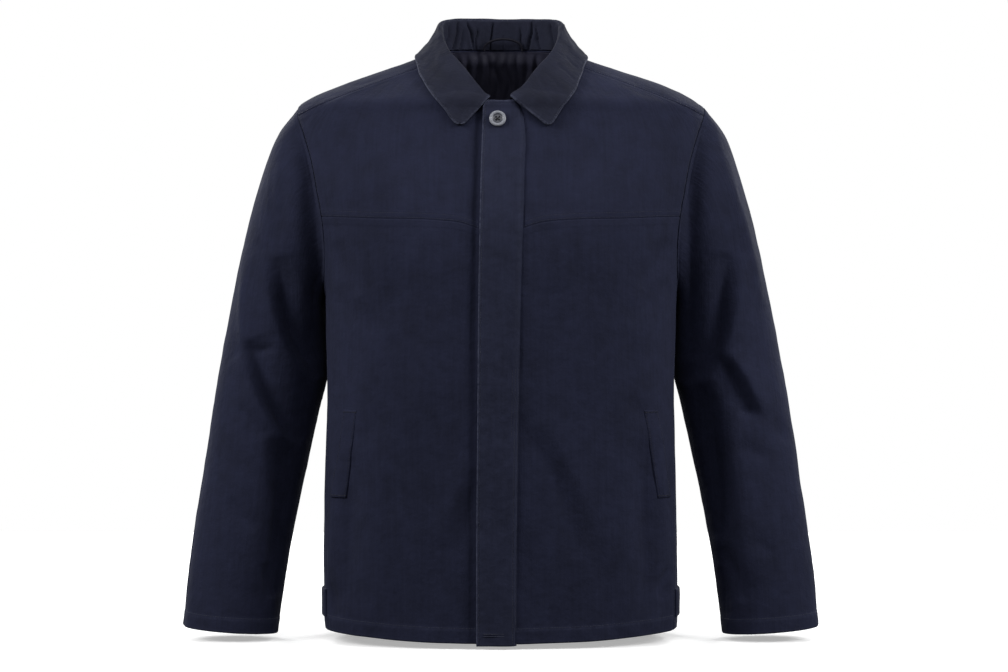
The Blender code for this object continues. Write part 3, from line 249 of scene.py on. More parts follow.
def crease_depth(points, normals, creases):
    """Sum of all creases: each its depth times exp(-(distance / reach)^1.7), on its own face.

    A crease follows a smooth line through its points, and fades in and out along it by the
    power 0.6 of sin(pi times the share of its length).
    """
    flat = points[..., [0, 2]]
    total = np.zeros(points.shape[:-1])
    for crease in creases:
        stops = crease.line
        run = lengths(stops, 0)
        marks = np.linspace(0, run[-1], 5 * len(stops))
        line = np.stack([smooth(run, stops[:, axis], marks) for axis in range(2)], axis=-1)
        strength = np.sin(np.pi * marks / run[-1]).clip(0) ** 0.6
        reach = 2.4 * max(crease.left, crease.right)
        towards = -1 if crease.face == "front" else 1
        facing = np.clip(towards * normals[..., 1] * 1.6, 0, 1)
        inside = (flat > line.min(axis=0) - reach) & (flat < line.max(axis=0) + reach)
        near = inside.all(axis=-1) & (facing > 0)
        step = np.diff(line, axis=0)
        offset = flat[near][:, None] - line[:-1]
        along = np.clip(np.sum(offset * step, axis=-1) / np.sum(step * step, axis=-1), 0, 1)
        offset = offset - along[..., None] * step
        distance = np.linalg.norm(offset, axis=-1)
        row = np.arange(len(distance))
        nearest = distance.argmin(axis=1)
        along, distance, offset = (values[row, nearest] for values in (along, distance, offset))
        leftward = step[nearest, 0] * offset[:, 1] - step[nearest, 1] * offset[:, 0] < 0
        reach = np.where(leftward, crease.left, crease.right)
        here = strength[nearest] * (1 - along) + strength[nearest + 1] * along
        total[near] += crease.depth * facing[near] * here * bell(distance, reach, 1.7)
    return total


def folded_form(angle, height, lift=0.0):
    """Form with the body's creases pressed into it, moved out by lift, and its normals."""
    angle, height = np.broadcast_arrays(np.asarray(angle, float), np.asarray(height, float))
    points = on_form(angle, height)
    normals = form_normal(angle, height)
    depth = crease_depth(points, normals, BODY_CREASES)
    return points + (np.asarray(lift) - depth)[..., None] * normals, normals


def front_angle(across, height):
    """Angle of the front point at this place across: the oval solved for its depth."""
    power = column(FORM, "squareness", height)
    share = np.clip(np.abs(across) / column(FORM, "half_width", height), 0, 1)
    ahead = column(FORM, "front", height) * (1 - share ** power) ** (1 / power)
    return np.degrees(np.arctan2(across, ahead))


def side_angle(along, height):
    """Angle of the side point at this place from front to back: the oval solved for its width."""
    power = column(FORM, "squareness", height)
    offset = along - column(FORM, "middle", height)
    depth = np.where(offset < 0, column(FORM, "front", height), column(FORM, "back", height))
    share = np.clip(np.abs(offset) / depth, 0, 1)
    across = column(FORM, "half_width", height) * (1 - share ** power) ** (1 / power)
    return np.degrees(np.arctan2(across, -offset))


def pairs(first, second):
    """Two grids as one grid of pairs, such as (angle, height) or the place on a flat cut."""
    return np.stack(np.broadcast_arrays(first, second), axis=-1).astype(float)


def spread(line, marks):
    """Points of a line of (angle, height) at these shares of its real length."""
    length = lengths(on_form(*line.T), 0)
    marks = np.asarray(marks) * length[-1]
    return pairs(np.interp(marks, length, line[:, 0]), np.interp(marks, length, line[:, 1]))


def spaced(length, coarse, start=True, fine=0.0006, reach=0.012):
    """Shares that cut a length into an even number of steps, fine near its stitched ends."""
    place = np.linspace(0, length, 4000)
    from_end = length - place
    if start:
        from_end = np.minimum(from_end, place)
    step = fine + (coarse - fine) * ease(0.35 * reach, 1.8 * reach, from_end)
    count = np.concatenate([[0], np.cumsum(np.diff(place) / step[1:])])
    pieces = 2 * int(np.ceil(count[-1] / 2))
    return np.interp(np.linspace(0, count[-1], pieces + 1), count, place) / length


def one_sided(angle):
    """Angle from the front, counted the same to the left and to the right."""
    return np.where(angle > 180, 360 - angle, angle)


def neck_height(angle):
    return smooth(*zip(*NECKLINE), one_sided(angle))


def hem_line(start, end, marks):
    angle = np.linspace(start, end, 400)
    return spread(pairs(angle, smooth(*zip(*HEM), one_sided(angle))), marks)


def armhole(turn):
    """(angle, height) on the form for a turn round the armhole's egg."""
    turn = np.radians(turn)
    middle = (ARMHOLE_TOP + ARMHOLE_BOTTOM) / 2
    height = middle + (ARMHOLE_TOP - ARMHOLE_BOTTOM) / 2 * np.cos(turn)
    depth = np.where(np.sin(turn) > 0, ARMHOLE_FRONT, ARMHOLE_BACK)
    along = ARMHOLE_MIDDLE - depth * np.sin(turn) * (1 - ARMHOLE_LOW_BULGE * np.cos(turn))
    return pairs(side_angle(along, height), height)


def patch(foot, top, left, right, across, up):
    """Grid of (angle, height) between four seams.

    Each row runs straight between the left and right seams, plus the foot's bend, which gives
    way to the top's bend by the power TOP_REACH of the share up, all laid onto the form.
    """
    low, high, near, far = (on_form(*line.T) for line in (foot, top, left, right))
    across = across[None, :, None]
    up = up[:, None, None]
    low_bend = low - low[0] - across[0] * (low[-1] - low[0])
    high_bend = high - high[0] - across[0] * (high[-1] - high[0])
    points = (1 - across) * near[:, None] + across * far[:, None]
    points = points + (1 - up ** TOP_REACH) * low_bend[None] + up ** TOP_REACH * high_bend[None]
    grid = onto_form(points)
    grid[0], grid[-1], grid[:, 0], grid[:, -1] = foot, top, left, right
    return grid


def lengths(points, axis):
    """Distance run along a line, or along a grid's rows or columns, from its first point."""
    steps = np.linalg.norm(np.diff(points, axis=axis), axis=-1)
    start = np.zeros_like(np.take(steps, [0], axis=axis))
    return np.concatenate([start, np.cumsum(steps, axis=axis)], axis=axis)


def closed(grid):
    """Grid with its first column again after its last, as round a tube."""
    return np.concatenate([grid, grid[:, :1]], axis=1)


def wander(place, pitch, seed):
    """Smooth random line from -1 to 1: a random height at every pitch, eased between."""
    heights = np.random.default_rng(seed).uniform(-1, 1, 2048)
    step = np.floor(place / pitch).astype(int)
    part = ease(0, 1, place / pitch - step)
    return heights[step % 2048] * (1 - part) + heights[(step + 1) % 2048] * part


def full_turn(sides):
    """Angles of the sides of a ring, in radians."""
    return np.linspace(0, 2 * np.pi, sides, endpoint=False)


def mottled(across, up, pitch_across, pitch_up, seed):
    """Smooth random field from -1 to 1: random heights on a lattice, eased both ways."""
    heights = np.random.default_rng(seed).uniform(-1, 1, (256, 256))
    column_step = np.floor(across / pitch_across).astype(int)
    row_step = np.floor(up / pitch_up).astype(int)
    part_across = ease(0, 1, across / pitch_across - column_step)
    part_up = ease(0, 1, up / pitch_up - row_step)
    columns = (column_step % 256, (column_step + 1) % 256)
    rows = (row_step % 256, (row_step + 1) % 256)
    low = heights[rows[0], columns[0]] * (1 - part_across) + heights[rows[0], columns[1]] * part_across
    high = heights[rows[1], columns[0]] * (1 - part_across) + heights[rows[1], columns[1]] * part_across
    return low * (1 - part_up) + high * part_up


def rumple(across, up, seed, amount):
    """Unevenness of worn cloth: long soft waves down the drop, and smaller ones on them."""
    total = 0.0011 * mottled(across, up, 0.062, 0.150, seed)
    total += 0.0005 * mottled(across + 0.3 * up, up, 0.026, 0.055, seed + 1)
    total += 0.00022 * mottled(across - 0.4 * up, up + 0.2 * across, 0.011, 0.019, seed + 2)
    return amount * total


def seam_relief(away, along, seed, pucker=0.00028, roll=0.0009):
    """Height by distance from a seam: rolled into it, raised over the turnings, and puckered.

    The puckers are a random line along the seam that fades with distance from it.
    """
    height = -roll * bell(away, 0.0009)
    height = height + 0.00030 * (1 - ease(TURNINGS, TURNINGS + 0.0025, away))
    ripple = wander(along + 0.25 * away, 0.0050, seed)
    ripple *= 0.55 + 0.45 * wander(along, 0.045, seed + 1)
    return height + pucker * ripple * np.exp(-away / 0.0070)


def stitch_groove(away, row, depth=0.00030):
    """Small channel that a row of stitches pulls into the cloth."""
    return -depth * bell(away - row, 0.0008)


def hem_relief(away, along, seed, depth=HEM_DEPTH, rope=0.00055):
    """Turned hem: rounded at the fold, proud up to its stitches, and roped between by the drag."""
    height = -0.0009 * bell(away, 0.0008)
    height = height + 0.00055 * (1 - ease(depth - 0.001, depth + 0.0012, away))
    inside = np.sin(np.pi * np.clip(away / depth, 0, 1)) ** 0.8
    slanted = along + 0.45 * away
    ripple = wander(slanted, 0.0062, seed) + 0.6 * wander(slanted, 0.0140, seed + 1)
    ripple *= 0.5 + 0.5 * wander(along, 0.060, seed + 2)
    above = np.exp(-np.clip(away - depth, 0, None) / 0.006) * ease(depth - 0.002, depth, away)
    return height + rope * ripple * (inside + 0.5 * above) + stitch_groove(away, depth)


def hem_wear(away, fold=0.75):
    """Paleness of a hem: along its fold, and in a soft line above it."""
    return fold * np.exp(-away / 0.0011) + 0.18 * bell(away - 0.017, 0.0020)


def draw_in(points):
    """Borders of a grid moved towards the next row by half the gap at a seam."""
    moved = points.copy()
    for axis in (0, 1):
        grid = np.swapaxes(points, 0, axis)
        target = np.swapaxes(moved, 0, axis)
        for border, inside in ((0, 1), (-1, -2)):
            target[border] += SEAM_GAP / 2 * unit(grid[inside] - grid[border])
    return moved


def make_mesh(name, points, faces, cut=None, worn=None, span=None):
    """Mesh from points and arrays of faces, with its flat cut as a UV map, in metres.

    A face that closes a tube has the tube's span added to its corners past the seam.
    """
    mesh = bpy.data.meshes.new(name)
    corners = np.concatenate([face.ravel() for face in faces])
    sizes = np.concatenate([np.full(len(face), face.shape[1]) for face in faces])
    mesh.vertices.add(len(points))
    mesh.vertices.foreach_set("co", points.astype(np.float32).ravel())
    mesh.loops.add(len(corners))
    mesh.loops.foreach_set("vertex_index", corners.astype(np.int32))
    mesh.polygons.add(len(sizes))
    starts = np.concatenate([[0], np.cumsum(sizes)[:-1]])
    mesh.polygons.foreach_set("loop_start", starts.astype(np.int32))
    mesh.update(calc_edges=True)
    if cut is not None:
        laid = []
        for face in faces:
            corner = cut[face]
            if span is not None:
                reach = corner[..., 0].max(axis=1) - corner[..., 0].min(axis=1)
                behind = (reach > span / 2)[:, None] & (corner[..., 0] < span / 2)
                corner[..., 0] += span * behind
            laid.append(corner.reshape(-1, 2))
        layer = mesh.uv_layers.new(name="cut")
        layer.data.foreach_set("uv", np.concatenate(laid).astype(np.float32).ravel())
    if worn is not None:
        layer = mesh.attributes.new("worn", "FLOAT", "POINT")
        layer.data.foreach_set("value", worn.astype(np.float32).ravel())
    return mesh


def add_object(name, data):
    added = bpy.data.objects.new(name, data)
    bpy.context.scene.collection.objects.link(added)
    return added


def add_piece(name, mesh, material, sharp=50):
    """Object for a mesh, at the origin, riding on the jacket's one body."""
    piece = add_object(name, mesh)
    mesh.materials.append(material)
    mesh.shade_smooth()
    mesh.set_sharp_from_angle(angle=np.radians(sharp))
    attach(piece, "root")
    return piece


def cloth_piece(name, outer, normals, thickness, material, cut, worn, tube=False):
    """Closed wall of cloth: a fine outer face, an inner face at every second point.

    Along each open border, faces of five corners join two outer steps to one inner step.
    """
    inner = (outer - thickness * normals)[::2, ::2]
    index = np.arange(outer[..., 0].size).reshape(outer.shape[:2])
    inner_index = index.size + np.arange(inner[..., 0].size).reshape(inner.shape[:2])
    if tube:
        index = closed(index)
        inner_index = closed(inner_index)

    def quads(grid):
        corners = [grid[:-1, :-1], grid[:-1, 1:], grid[1:, 1:], grid[1:, :-1]]
        return np.stack(corners, axis=-1).reshape(-1, 4)

    def border(outer_line, inner_line):
        corners = [outer_line[:-2:2], outer_line[1:-1:2], outer_line[2::2], inner_line[1:],
                   inner_line[:-1]]
        return np.stack(corners, axis=-1)

    rims = [border(index[0, ::-1], inner_index[0, ::-1]), border(index[-1], inner_index[-1])]
    if not tube:
        rims += [border(index[:, 0], inner_index[:, 0]),
                 border(index[::-1, -1], inner_index[::-1, -1])]
    faces = [quads(index), quads(inner_index)[:, ::-1], np.concatenate(rims)]
    points = np.concatenate([outer.reshape(-1, 3), inner.reshape(-1, 3)])
    corner = points[faces[0]]
    square = np.cross(corner[:, 2] - corner[:, 0], corner[:, 3] - corner[:, 1])
    if np.sum(square * normals.reshape(-1, 3)[faces[0][:, 0]]) < 0:
        faces = [face[:, ::-1] for face in faces]
    flat = np.concatenate([cut.reshape(-1, 2), cut[::2, ::2].reshape(-1, 2)])
    wear = np.concatenate([worn.ravel(), worn[::2, ::2].ravel() * 0])
    span = None
    if tube:
        span = float(np.mean(np.linalg.norm(np.diff(outer, axis=1), axis=-1).sum(axis=1)))
    mesh = make_mesh(name, points, faces, flat, wear, span)
    return add_piece(name, mesh, material)


def line_at(points, normals, away, distance):
    """Line across the rows of a grid where the distance from a seam has this value."""
    passed = (away[:, :-1] - distance) * (away[:, 1:] - distance) <= 0
    kept = passed.any(axis=1)
    row = np.flatnonzero(kept)
    left = np.argmax(passed[kept], axis=1)
    step = away[row, left + 1] - away[row, left]
    part = ((distance - away[row, left]) / step)[:, None]
    place = points[row, left] * (1 - part) + points[row, left + 1] * part
    return place, unit(normals[row, left] * (1 - part) + normals[row, left + 1] * part)


def across_rows(points, normals, away, distance):
    """The same along the rows: the grid turned on its side."""
    return line_at(points.swapaxes(0, 1), normals.swapaxes(0, 1), away.T, distance)


STITCH_PITCH = 0.0031
STITCH_LENGTH = 0.0023
THREAD = 0.00030
STITCH_SIDES = 5
STITCH_RINGS = ((-1.0, 0.35, -0.9), (-0.62, 0.95, 0.15), (0.0, 1.0, 0.45), (0.62, 0.95, 0.15),
                (1.0, 0.35, -0.9))        # place along, thickness, rise


def stitch_row(name, runs, material, pitch=STITCH_PITCH, length=STITCH_LENGTH, thread=THREAD):
    """Rows of stitches as one mesh: rings carried along short arcs that dip into the cloth."""
    solids = []
    for points, normals in runs:
        run = lengths(points, 0)
        middle = np.arange(pitch / 2, run[-1], pitch)
        if not len(middle):
            continue

        def at(place, values):
            return np.stack([np.interp(place, run, values[:, axis]) for axis in range(3)], axis=-1)

        centre = at(middle, points)
        along = unit(at(middle + length / 3, points) - at(middle - length / 3, points) + 1e-9)
        outward = unit(at(middle, normals))
        sideways = unit(np.cross(outward, along))
        rings = np.array(STITCH_RINGS)
        turn = full_turn(STITCH_SIDES)
        spine = (centre[:, None] + along[:, None] * (rings[:, 0, None] * length / 2)
                 + outward[:, None] * (rings[:, 2, None] * thread))
        ring = (np.cos(turn)[:, None] * sideways[:, None, None]
                + np.sin(turn)[:, None] * outward[:, None, None])
        solid = spine[:, :, None] + ring * (rings[:, 1, None, None] * thread)
        solids.append(solid.reshape(-1, len(rings) * STITCH_SIDES, 3))
    points = np.concatenate(solids)
    ring_start = np.arange(len(STITCH_RINGS) - 1)[:, None] * STITCH_SIDES
    side = np.arange(STITCH_SIDES)[None, :]
    after = (side + 1) % STITCH_SIDES
    barrel = np.stack([ring_start + side, ring_start + after, ring_start + after + STITCH_SIDES,
                       ring_start + side + STITCH_SIDES], axis=-1).reshape(-1, 4)
    last = (len(STITCH_RINGS) - 1) * STITCH_SIDES
    caps = np.stack([np.arange(STITCH_SIDES)[::-1], last + np.arange(STITCH_SIDES)])
    offset = (np.arange(len(points)) * points.shape[1])[:, None, None]
    faces = [(barrel[None] + offset).reshape(-1, 4), (caps[None] + offset).reshape(-1, STITCH_SIDES)]
    mesh = make_mesh(name, points.reshape(-1, 3), faces)
    return add_piece(name, mesh, material, sharp=80)


def feed(tree, node, **inputs):
    """A node's inputs: each a plain value, or another node's output.

    An input is named by its socket, with _ for a space, or by its number after "i".
    """
    for name, value in inputs.items():
        numbered = name[0] == "i" and name[1:].isdigit()
        socket = node.inputs[int(name[1:])] if numbered else node.inputs[name.replace("_", " ")]
        if isinstance(value, bpy.types.NodeSocket):
            tree.links.new(value, socket)
        else:
            socket.default_value = value


def put(tree, kind, settings=(), **inputs):
    """New shader node with its settings and inputs."""
    node = tree.nodes.new(kind)
    for name, value in dict(settings).items():
        setattr(node, name, value)
    feed(tree, node, **inputs)
    return node


def new_finish(name):
    """New material, its node tree and its shader."""
    material = bpy.data.materials.new(name)
    material.use_nodes = True
    return material, material.node_tree, material.node_tree.nodes["Principled BSDF"]


def linear(tone):
    """Linear colour of an sRGB tone of 0 to 255."""
    share = np.array(tone) / 255
    value = np.where(share < 0.04045, share / 12.92, ((share + 0.055) / 1.055) ** 2.4)
    return (*value.tolist(), 1.0)


def sums(tree, first, second, operation="ADD"):
    return put(tree, "ShaderNodeMath", {"operation": operation}, i0=first, i1=second).outputs[0]


def times(tree, first, second):
    return sums(tree, first, second, "MULTIPLY")


def tinted(tree, share, first, second):
    """Colour between two others by a share."""
    node = put(tree, "ShaderNodeMix", {"data_type": "RGBA"}, i0=share, i6=first, i7=second)
    return node.outputs[2]


def noise(tree, where, scale, detail=3.0, roughness=0.55):
    return put(tree, "ShaderNodeTexNoise", Vector=where, Scale=scale, Detail=detail,
               Roughness=roughness).outputs["Fac"]


def scaled(tree, place, scale):
    return put(tree, "ShaderNodeMapping", Vector=place, Scale=scale).outputs[0]


def shaded(tone, share):
    """Linear colour of a tone, made darker or lighter by a share."""
    return tuple(share * part for part in linear(tone)[:3]) + (1.0,)


def ramp(tree, value, low, high):
    """Value stretched so that low becomes 0 and high becomes 1."""
    return put(tree, "ShaderNodeMapRange", Value=value, i1=low, i2=high).outputs[0]


SHEEN_TINT = (0.62, 0.68, 0.85, 1.0)


def woven(name, tone, faded, rib=0.0009, roughness=0.88, specular=0.14, sheen=0.03, crumple=0.0011,
          weave=0.00004, patchy=0.56, streaky=0.26):
    """Twill: slanted ribs of yarn, long slubs down the warp, uneven dye, and wear where marked.

    Colour is the tone moved towards its dark and faded ends by noise at three sizes and by the
    slubs. Height is the ribs and slubs over a soft crumple.
    """
    material, tree, shader = new_finish(name)
    cut = put(tree, "ShaderNodeUVMap", {"uv_map": "cut"}).outputs[0]
    body = put(tree, "ShaderNodeTexCoord").outputs["Object"]
    ribs = put(tree, "ShaderNodeTexWave", {"bands_direction": "DIAGONAL", "wave_profile": "SIN"},
               Vector=scaled(tree, cut, (1.0, 0.62, 1.0)), Scale=0.31 / rib, Distortion=1.2,
               Detail=2.0, Detail_Scale=2.5).outputs["Fac"]
    warp = noise(tree, scaled(tree, cut, (1900, 130, 1)), 1.0)
    weft = noise(tree, scaled(tree, cut, (110, 1700, 1)), 1.0)
    slub = sums(tree, warp, weft)
    upright = noise(tree, scaled(tree, cut, (240, 14, 1)), 1.0, 2.0)
    cloudy = noise(tree, body, 9.0, 4.0)
    washed = noise(tree, body, 46.0, 4.0, 0.62)
    rubbed = noise(tree, body, 260.0, 3.0, 0.65)
    share = sums(tree, times(tree, ramp(tree, cloudy, 0.35, 0.65), 0.6 * patchy),
                 times(tree, ramp(tree, washed, 0.32, 0.68), patchy))
    share = sums(tree, share, times(tree, ramp(tree, slub, 0.7, 1.3), 0.26))
    share = sums(tree, share, times(tree, ramp(tree, upright, 0.34, 0.66), streaky))
    share = sums(tree, share, times(tree, ribs, 0.02))
    share = sums(tree, share, 0.5 * streaky, "SUBTRACT")
    dyed = tinted(tree, share, shaded(tone, 0.74), shaded(tone, 1.24))
    marked = put(tree, "ShaderNodeAttribute", {"attribute_name": "worn"}).outputs["Fac"]
    wear = times(tree, marked, ramp(tree, rubbed, 0.30, 0.62))
    colour = tinted(tree, sums(tree, wear, 1.0, "MINIMUM"), dyed, linear(faded))
    dull = sums(tree, times(tree, washed, 0.12), roughness - 0.06)
    soft = sums(tree, noise(tree, body, 95.0, 4.0, 0.6), times(tree, upright, 0.35))
    height = put(tree, "ShaderNodeBump", Strength=1.0, Distance=crumple, Height=soft)
    yarn = sums(tree, ribs, times(tree, slub, 0.8))
    fine = put(tree, "ShaderNodeBump", Strength=0.75, Distance=weave, Height=yarn,
               Normal=height.outputs[0])
    feed(tree, shader, Base_Color=colour, Roughness=dull, Specular_IOR_Level=specular,
         Sheen_Weight=sheen, Sheen_Roughness=0.55, Sheen_Tint=SHEEN_TINT, Normal=fine.outputs[0])
    return material


NAVY = (34, 37, 57)
NAVY_FADED = (66, 70, 92)
navy_twill = woven("navy_twill", NAVY, NAVY_FADED)


def thread_finish(name, tone):
    """Spun thread: fine turns across each stitch, darker in soft patches."""
    material, tree, shader = new_finish(name)
    body = put(tree, "ShaderNodeTexCoord").outputs["Object"]
    turns = noise(tree, body, 2600.0, 2.0)
    patches = noise(tree, body, 70.0, 2.0)
    share = sums(tree, times(tree, turns, 0.6), times(tree, patches, 0.5))
    bump = put(tree, "ShaderNodeBump", Strength=0.6, Distance=0.00005, Height=turns)
    feed(tree, shader, Base_Color=tinted(tree, share, shaded(tone, 0.7), linear(tone)),
         Roughness=0.62, Normal=bump.outputs[0])
    return material


NAVY_THREAD = (48, 52, 72)
# A darker copy of the thread, for the welts' and tabs' stitches: painted shade that dims the light their
# raised stitches catch.
SHADED_THREAD_TONE = (27, 29, 44)
navy_thread = thread_finish("navy_thread", NAVY_THREAD)
shaded_thread = thread_finish("shaded_thread", SHADED_THREAD_TONE)

# Sleeve sections, from shoulder to cuff: the outer and inner lines in front view, then the
# middle and the two depths in side view. The armhole's seam takes its slope from both cloths.
Section = namedtuple("Section", "outer_x outer_z inner_x inner_z middle front back")
SLEEVE = (
    Section(0.2530, -0.0613, 0.2185, -0.3005, 0.008, 0.073, 0.087),
    Section(0.2805, -0.0975, 0.2192, -0.3180, 0.013, 0.080, 0.086),
    Section(0.3025, -0.1560, 0.2180, -0.3400, 0.020, 0.078, 0.082),
    Section(0.3222, -0.2270, 0.2170, -0.3660, 0.027, 0.074, 0.078),
    Section(0.3402, -0.3100, 0.2180, -0.3930, 0.026, 0.071, 0.073),
    Section(0.3543, -0.3900, 0.2300, -0.4450, 0.016, 0.066, 0.066),
    Section(0.3667, -0.4790, 0.2425, -0.5080, 0.004, 0.060, 0.059),
    Section(0.3792, -0.5680, 0.2562, -0.5800, -0.006, 0.055, 0.053),
    Section(0.3885, -0.6430, 0.2670, -0.6450, -0.012, 0.050, 0.048),
    Section(0.3945, -0.7070, 0.2768, -0.7160, -0.016, 0.046, 0.044),
)
HEAD_SHARE = 0.22
HEAD_PLACE = 0.012


def mirrored(grid, side):
    return grid * np.array([side, 1.0])


def sleeve_form(share, turn, side):
    """Oval between the sleeve's outer and inner lines: cos shares them, sin gives the depth."""
    place = np.asarray(share, float) * (len(SLEEVE) - 1)
    rows = np.arange(len(SLEEVE))
    value = {name: smooth(rows, [getattr(row, name) for row in SLEEVE], place)
             for name in Section._fields}
    angle = np.radians(turn)
    outer_part = (1 + np.cos(angle)) / 2
    across = value["outer_x"] * outer_part + value["inner_x"] * (1 - outer_part)
    height = value["outer_z"] * outer_part + value["inner_z"] * (1 - outer_part)
    depth = np.where(np.sin(angle) > 0, value["front"], value["back"])
    along = value["middle"] - depth * np.sin(angle)
    return np.stack(np.broadcast_arrays(across * side, along, height), axis=-1)


def sleeve_surface(share, turn, side):
    """Sleeve form whose upper end is pulled onto the armhole's seam."""
    place = mirrored(armhole(turn), side)
    seam = on_form(place[..., 0], place[..., 1])
    pull = np.clip(1 - np.asarray(share, float) / HEAD_SHARE, 0, 1) ** 2
    return (sleeve_form(share, turn, side)
            + pull[..., None] * (seam - sleeve_form(np.zeros_like(share), turn, side)))


def sleeve_normal(share, turn, side):
    """Outward direction: a small step down the sleeve crossed with a small step round it."""
    low = np.clip(share - 0.004, 0, 1)
    high = np.clip(share + 0.004, 0, 1)
    along = sleeve_surface(high, turn, side) - sleeve_surface(low, turn, side)
    around = sleeve_surface(share, turn + 0.5, side) - sleeve_surface(share, turn - 0.5, side)
    return unit(np.cross(along, around)) * -side


def armhole_normals(turn, side):
    """Normals of the body and of the sleeve along the armhole, drawn together at the shoulder."""
    place = mirrored(armhole(turn), side)
    body = form_normal(place[:, 0], place[:, 1])
    sleeve = sleeve_normal(np.full(len(turn), HEAD_PLACE), turn, side)
    share = np.clip((np.cos(np.radians(turn)) - 0.1) / 0.5, 0, 1)[:, None]
    return unit(body + share * sleeve), unit(sleeve + share * body)


# Seams that the back shares with its neighbours, on the wearer's left
side_top = armhole(SIDE_TURN)
side_heights = np.linspace(-0.7095, side_top[1], 240)
side_middle = side_angle(smooth(*zip(*SIDE_SEAM), side_heights), side_heights)
side_middle += (side_top[0] - side_middle[-1]) * np.linspace(0, 1, 240) ** 6
side_seam = pairs(side_middle, side_heights)
side_foot = side_seam[0, 0]

shoulder_end = armhole(SHOULDER_TURN)
shoulder_start = pairs(NECK_POINT, neck_height(NECK_POINT))
start_point = on_form(*shoulder_start)
end_point = on_form(*shoulder_end)
shoulder_x = np.linspace(start_point[0], end_point[0], 200)
shoulder_z = np.linspace(start_point[2], end_point[2], 200)
shoulder_seam = pairs(front_angle(shoulder_x, shoulder_z), shoulder_z)
shoulder_seam[0] = shoulder_start
shoulder_seam[-1] = shoulder_end


ARM_COLUMNS = 12              # columns beside an armhole whose normals may be drawn in
ARM_NORMAL_REACH = 0.004
RUMPLE_REACH = 0.014          # distance from a seam at which the rumple is whole


def torso_grid(grid, arms, seams, seed, body_rumple=1.0):
    """Surface and normals of a torso panel, with its armhole borders' normals drawn in.

    Its relief starts with the rumple, which fades out at the seams that hold it flat.
    """
    points, normals = folded_form(grid[..., 0], grid[..., 1])
    for rows, border, turns, side in arms:
        columns = slice(0, ARM_COLUMNS) if border == 0 else slice(-ARM_COLUMNS, None)
        distance = np.linalg.norm(points[rows, columns] - points[rows, [border]], axis=-1)
        share = np.clip(1 - distance / ARM_NORMAL_REACH, 0, 1)[..., None]
        drawn = armhole_normals(turns, side)[0][:, None]
        normals[rows, columns] = unit(normals[rows, columns] * (1 - share) + drawn * share)
    foot = lengths(points, 0)
    left = lengths(points, 1)
    away = {"foot": foot, "top": foot[-1:] - foot, "left": left, "right": left[:, -1:] - left}
    relief = rumple(left, foot, seed, body_rumple)
    for seam in seams:
        relief *= ease(0, RUMPLE_REACH, away[seam])
    return points, normals, away, relief


BACK_STEP = 0.0033
ON_ARMHOLE = 0.0012           # a point this near the armhole's line lies on it
up = spaced(0.745, BACK_STEP)
across = spaced(0.56, BACK_STEP)
arm_turns = np.linspace(SIDE_TURN, 360 + SHOULDER_TURN, 400)
left_line = np.concatenate([side_seam, armhole(arm_turns)[1:]])
left_edge = spread(left_line, up)
right_edge = pairs(360 - left_edge[:, 0], left_edge[:, 1])
neck_back = np.linspace(NECK_POINT, 360 - NECK_POINT, 200)
shoulder_far = pairs(360 - shoulder_seam[:, 0], shoulder_seam[:, 1])
back_top = np.concatenate([shoulder_seam[::-1], pairs(neck_back, neck_height(neck_back))[1:-1],
                           shoulder_far])
back_top = spread(back_top, across)
back_hem = hem_line(side_foot, 360 - side_foot, across)


def along_armhole(edge, turns):
    """Which rows of an edge lie on the armhole, and their turns round it."""
    line = on_form(*armhole(turns).T)
    gap = np.linalg.norm(on_form(*edge.T)[:, None] - line[None], axis=-1)
    rows = np.flatnonzero(gap.min(axis=1) < ON_ARMHOLE)
    return slice(rows[0], None), turns[gap[rows].argmin(axis=1)]


grid = patch(back_hem, back_top, left_edge, right_edge, across, up)
rows, turns = along_armhole(left_edge, arm_turns)
points, normals, away, relief = torso_grid(grid, [(rows, 0, turns, 1), (rows, -1, turns, -1)],
                                           ("top", "left", "right"), seed=11)
relief += hem_relief(away["foot"], away["left"], 12)
relief += seam_relief(away["top"], away["left"], 15)
relief += seam_relief(away["left"], away["foot"], 16) + stitch_groove(away["left"], SEAM_STITCH)
relief += seam_relief(away["right"], away["foot"], 17) + stitch_groove(away["right"], SEAM_STITCH)
points = draw_in(points + relief[..., None] * normals)
back = cloth_piece("back_cloth", points, normals, CLOTH, navy_twill,
                   pairs(away["left"], away["foot"]), hem_wear(away["foot"]))
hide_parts("back")
back_stitches = stitch_row("back_stitches", [
    across_rows(points, normals, away["foot"], HEM_DEPTH),
    across_rows(points, normals, away["top"], SEAM_STITCH),
    line_at(points, normals, away["left"], SEAM_STITCH),
    line_at(points, normals, away["right"], SEAM_STITCH)], navy_thread)

# ================================================================ front yokes
# Upper fronts of the same twill, from the neck and shoulder down to a level seam on the chest.
# Their turnings are pressed up and held by two rows of stitches above the seam.
YOKE_SEAM = ((0.000, -0.2215), (0.025, -0.2190), (0.050, -0.2120), (0.074, -0.2095),
             (0.150, -0.2065), (0.225, -0.2020))
YOKE_TURN = 100.0
# The fly that lies over the fronts: height, then its free edge and its sewn edge across
PLACKET = ((-0.7190, -0.0292, 0.0190), (-0.600, -0.0290, 0.0195), (-0.450, -0.0276, 0.0215),
           (-0.300, -0.0262, 0.0240), (-0.150, -0.0236, 0.0285), (-0.0950, -0.0220, 0.0290),
           (-0.0750, -0.0215, 0.0250), (-0.0640, -0.0212, 0.0190))
FRONT_EDGE = 0.0045
YOKE_STEP = 0.0026
YOKE_ROWS_OF_STITCHES = (SEAM_STITCH, 0.0070)
SIDES = (("left", 1), ("right", -1))


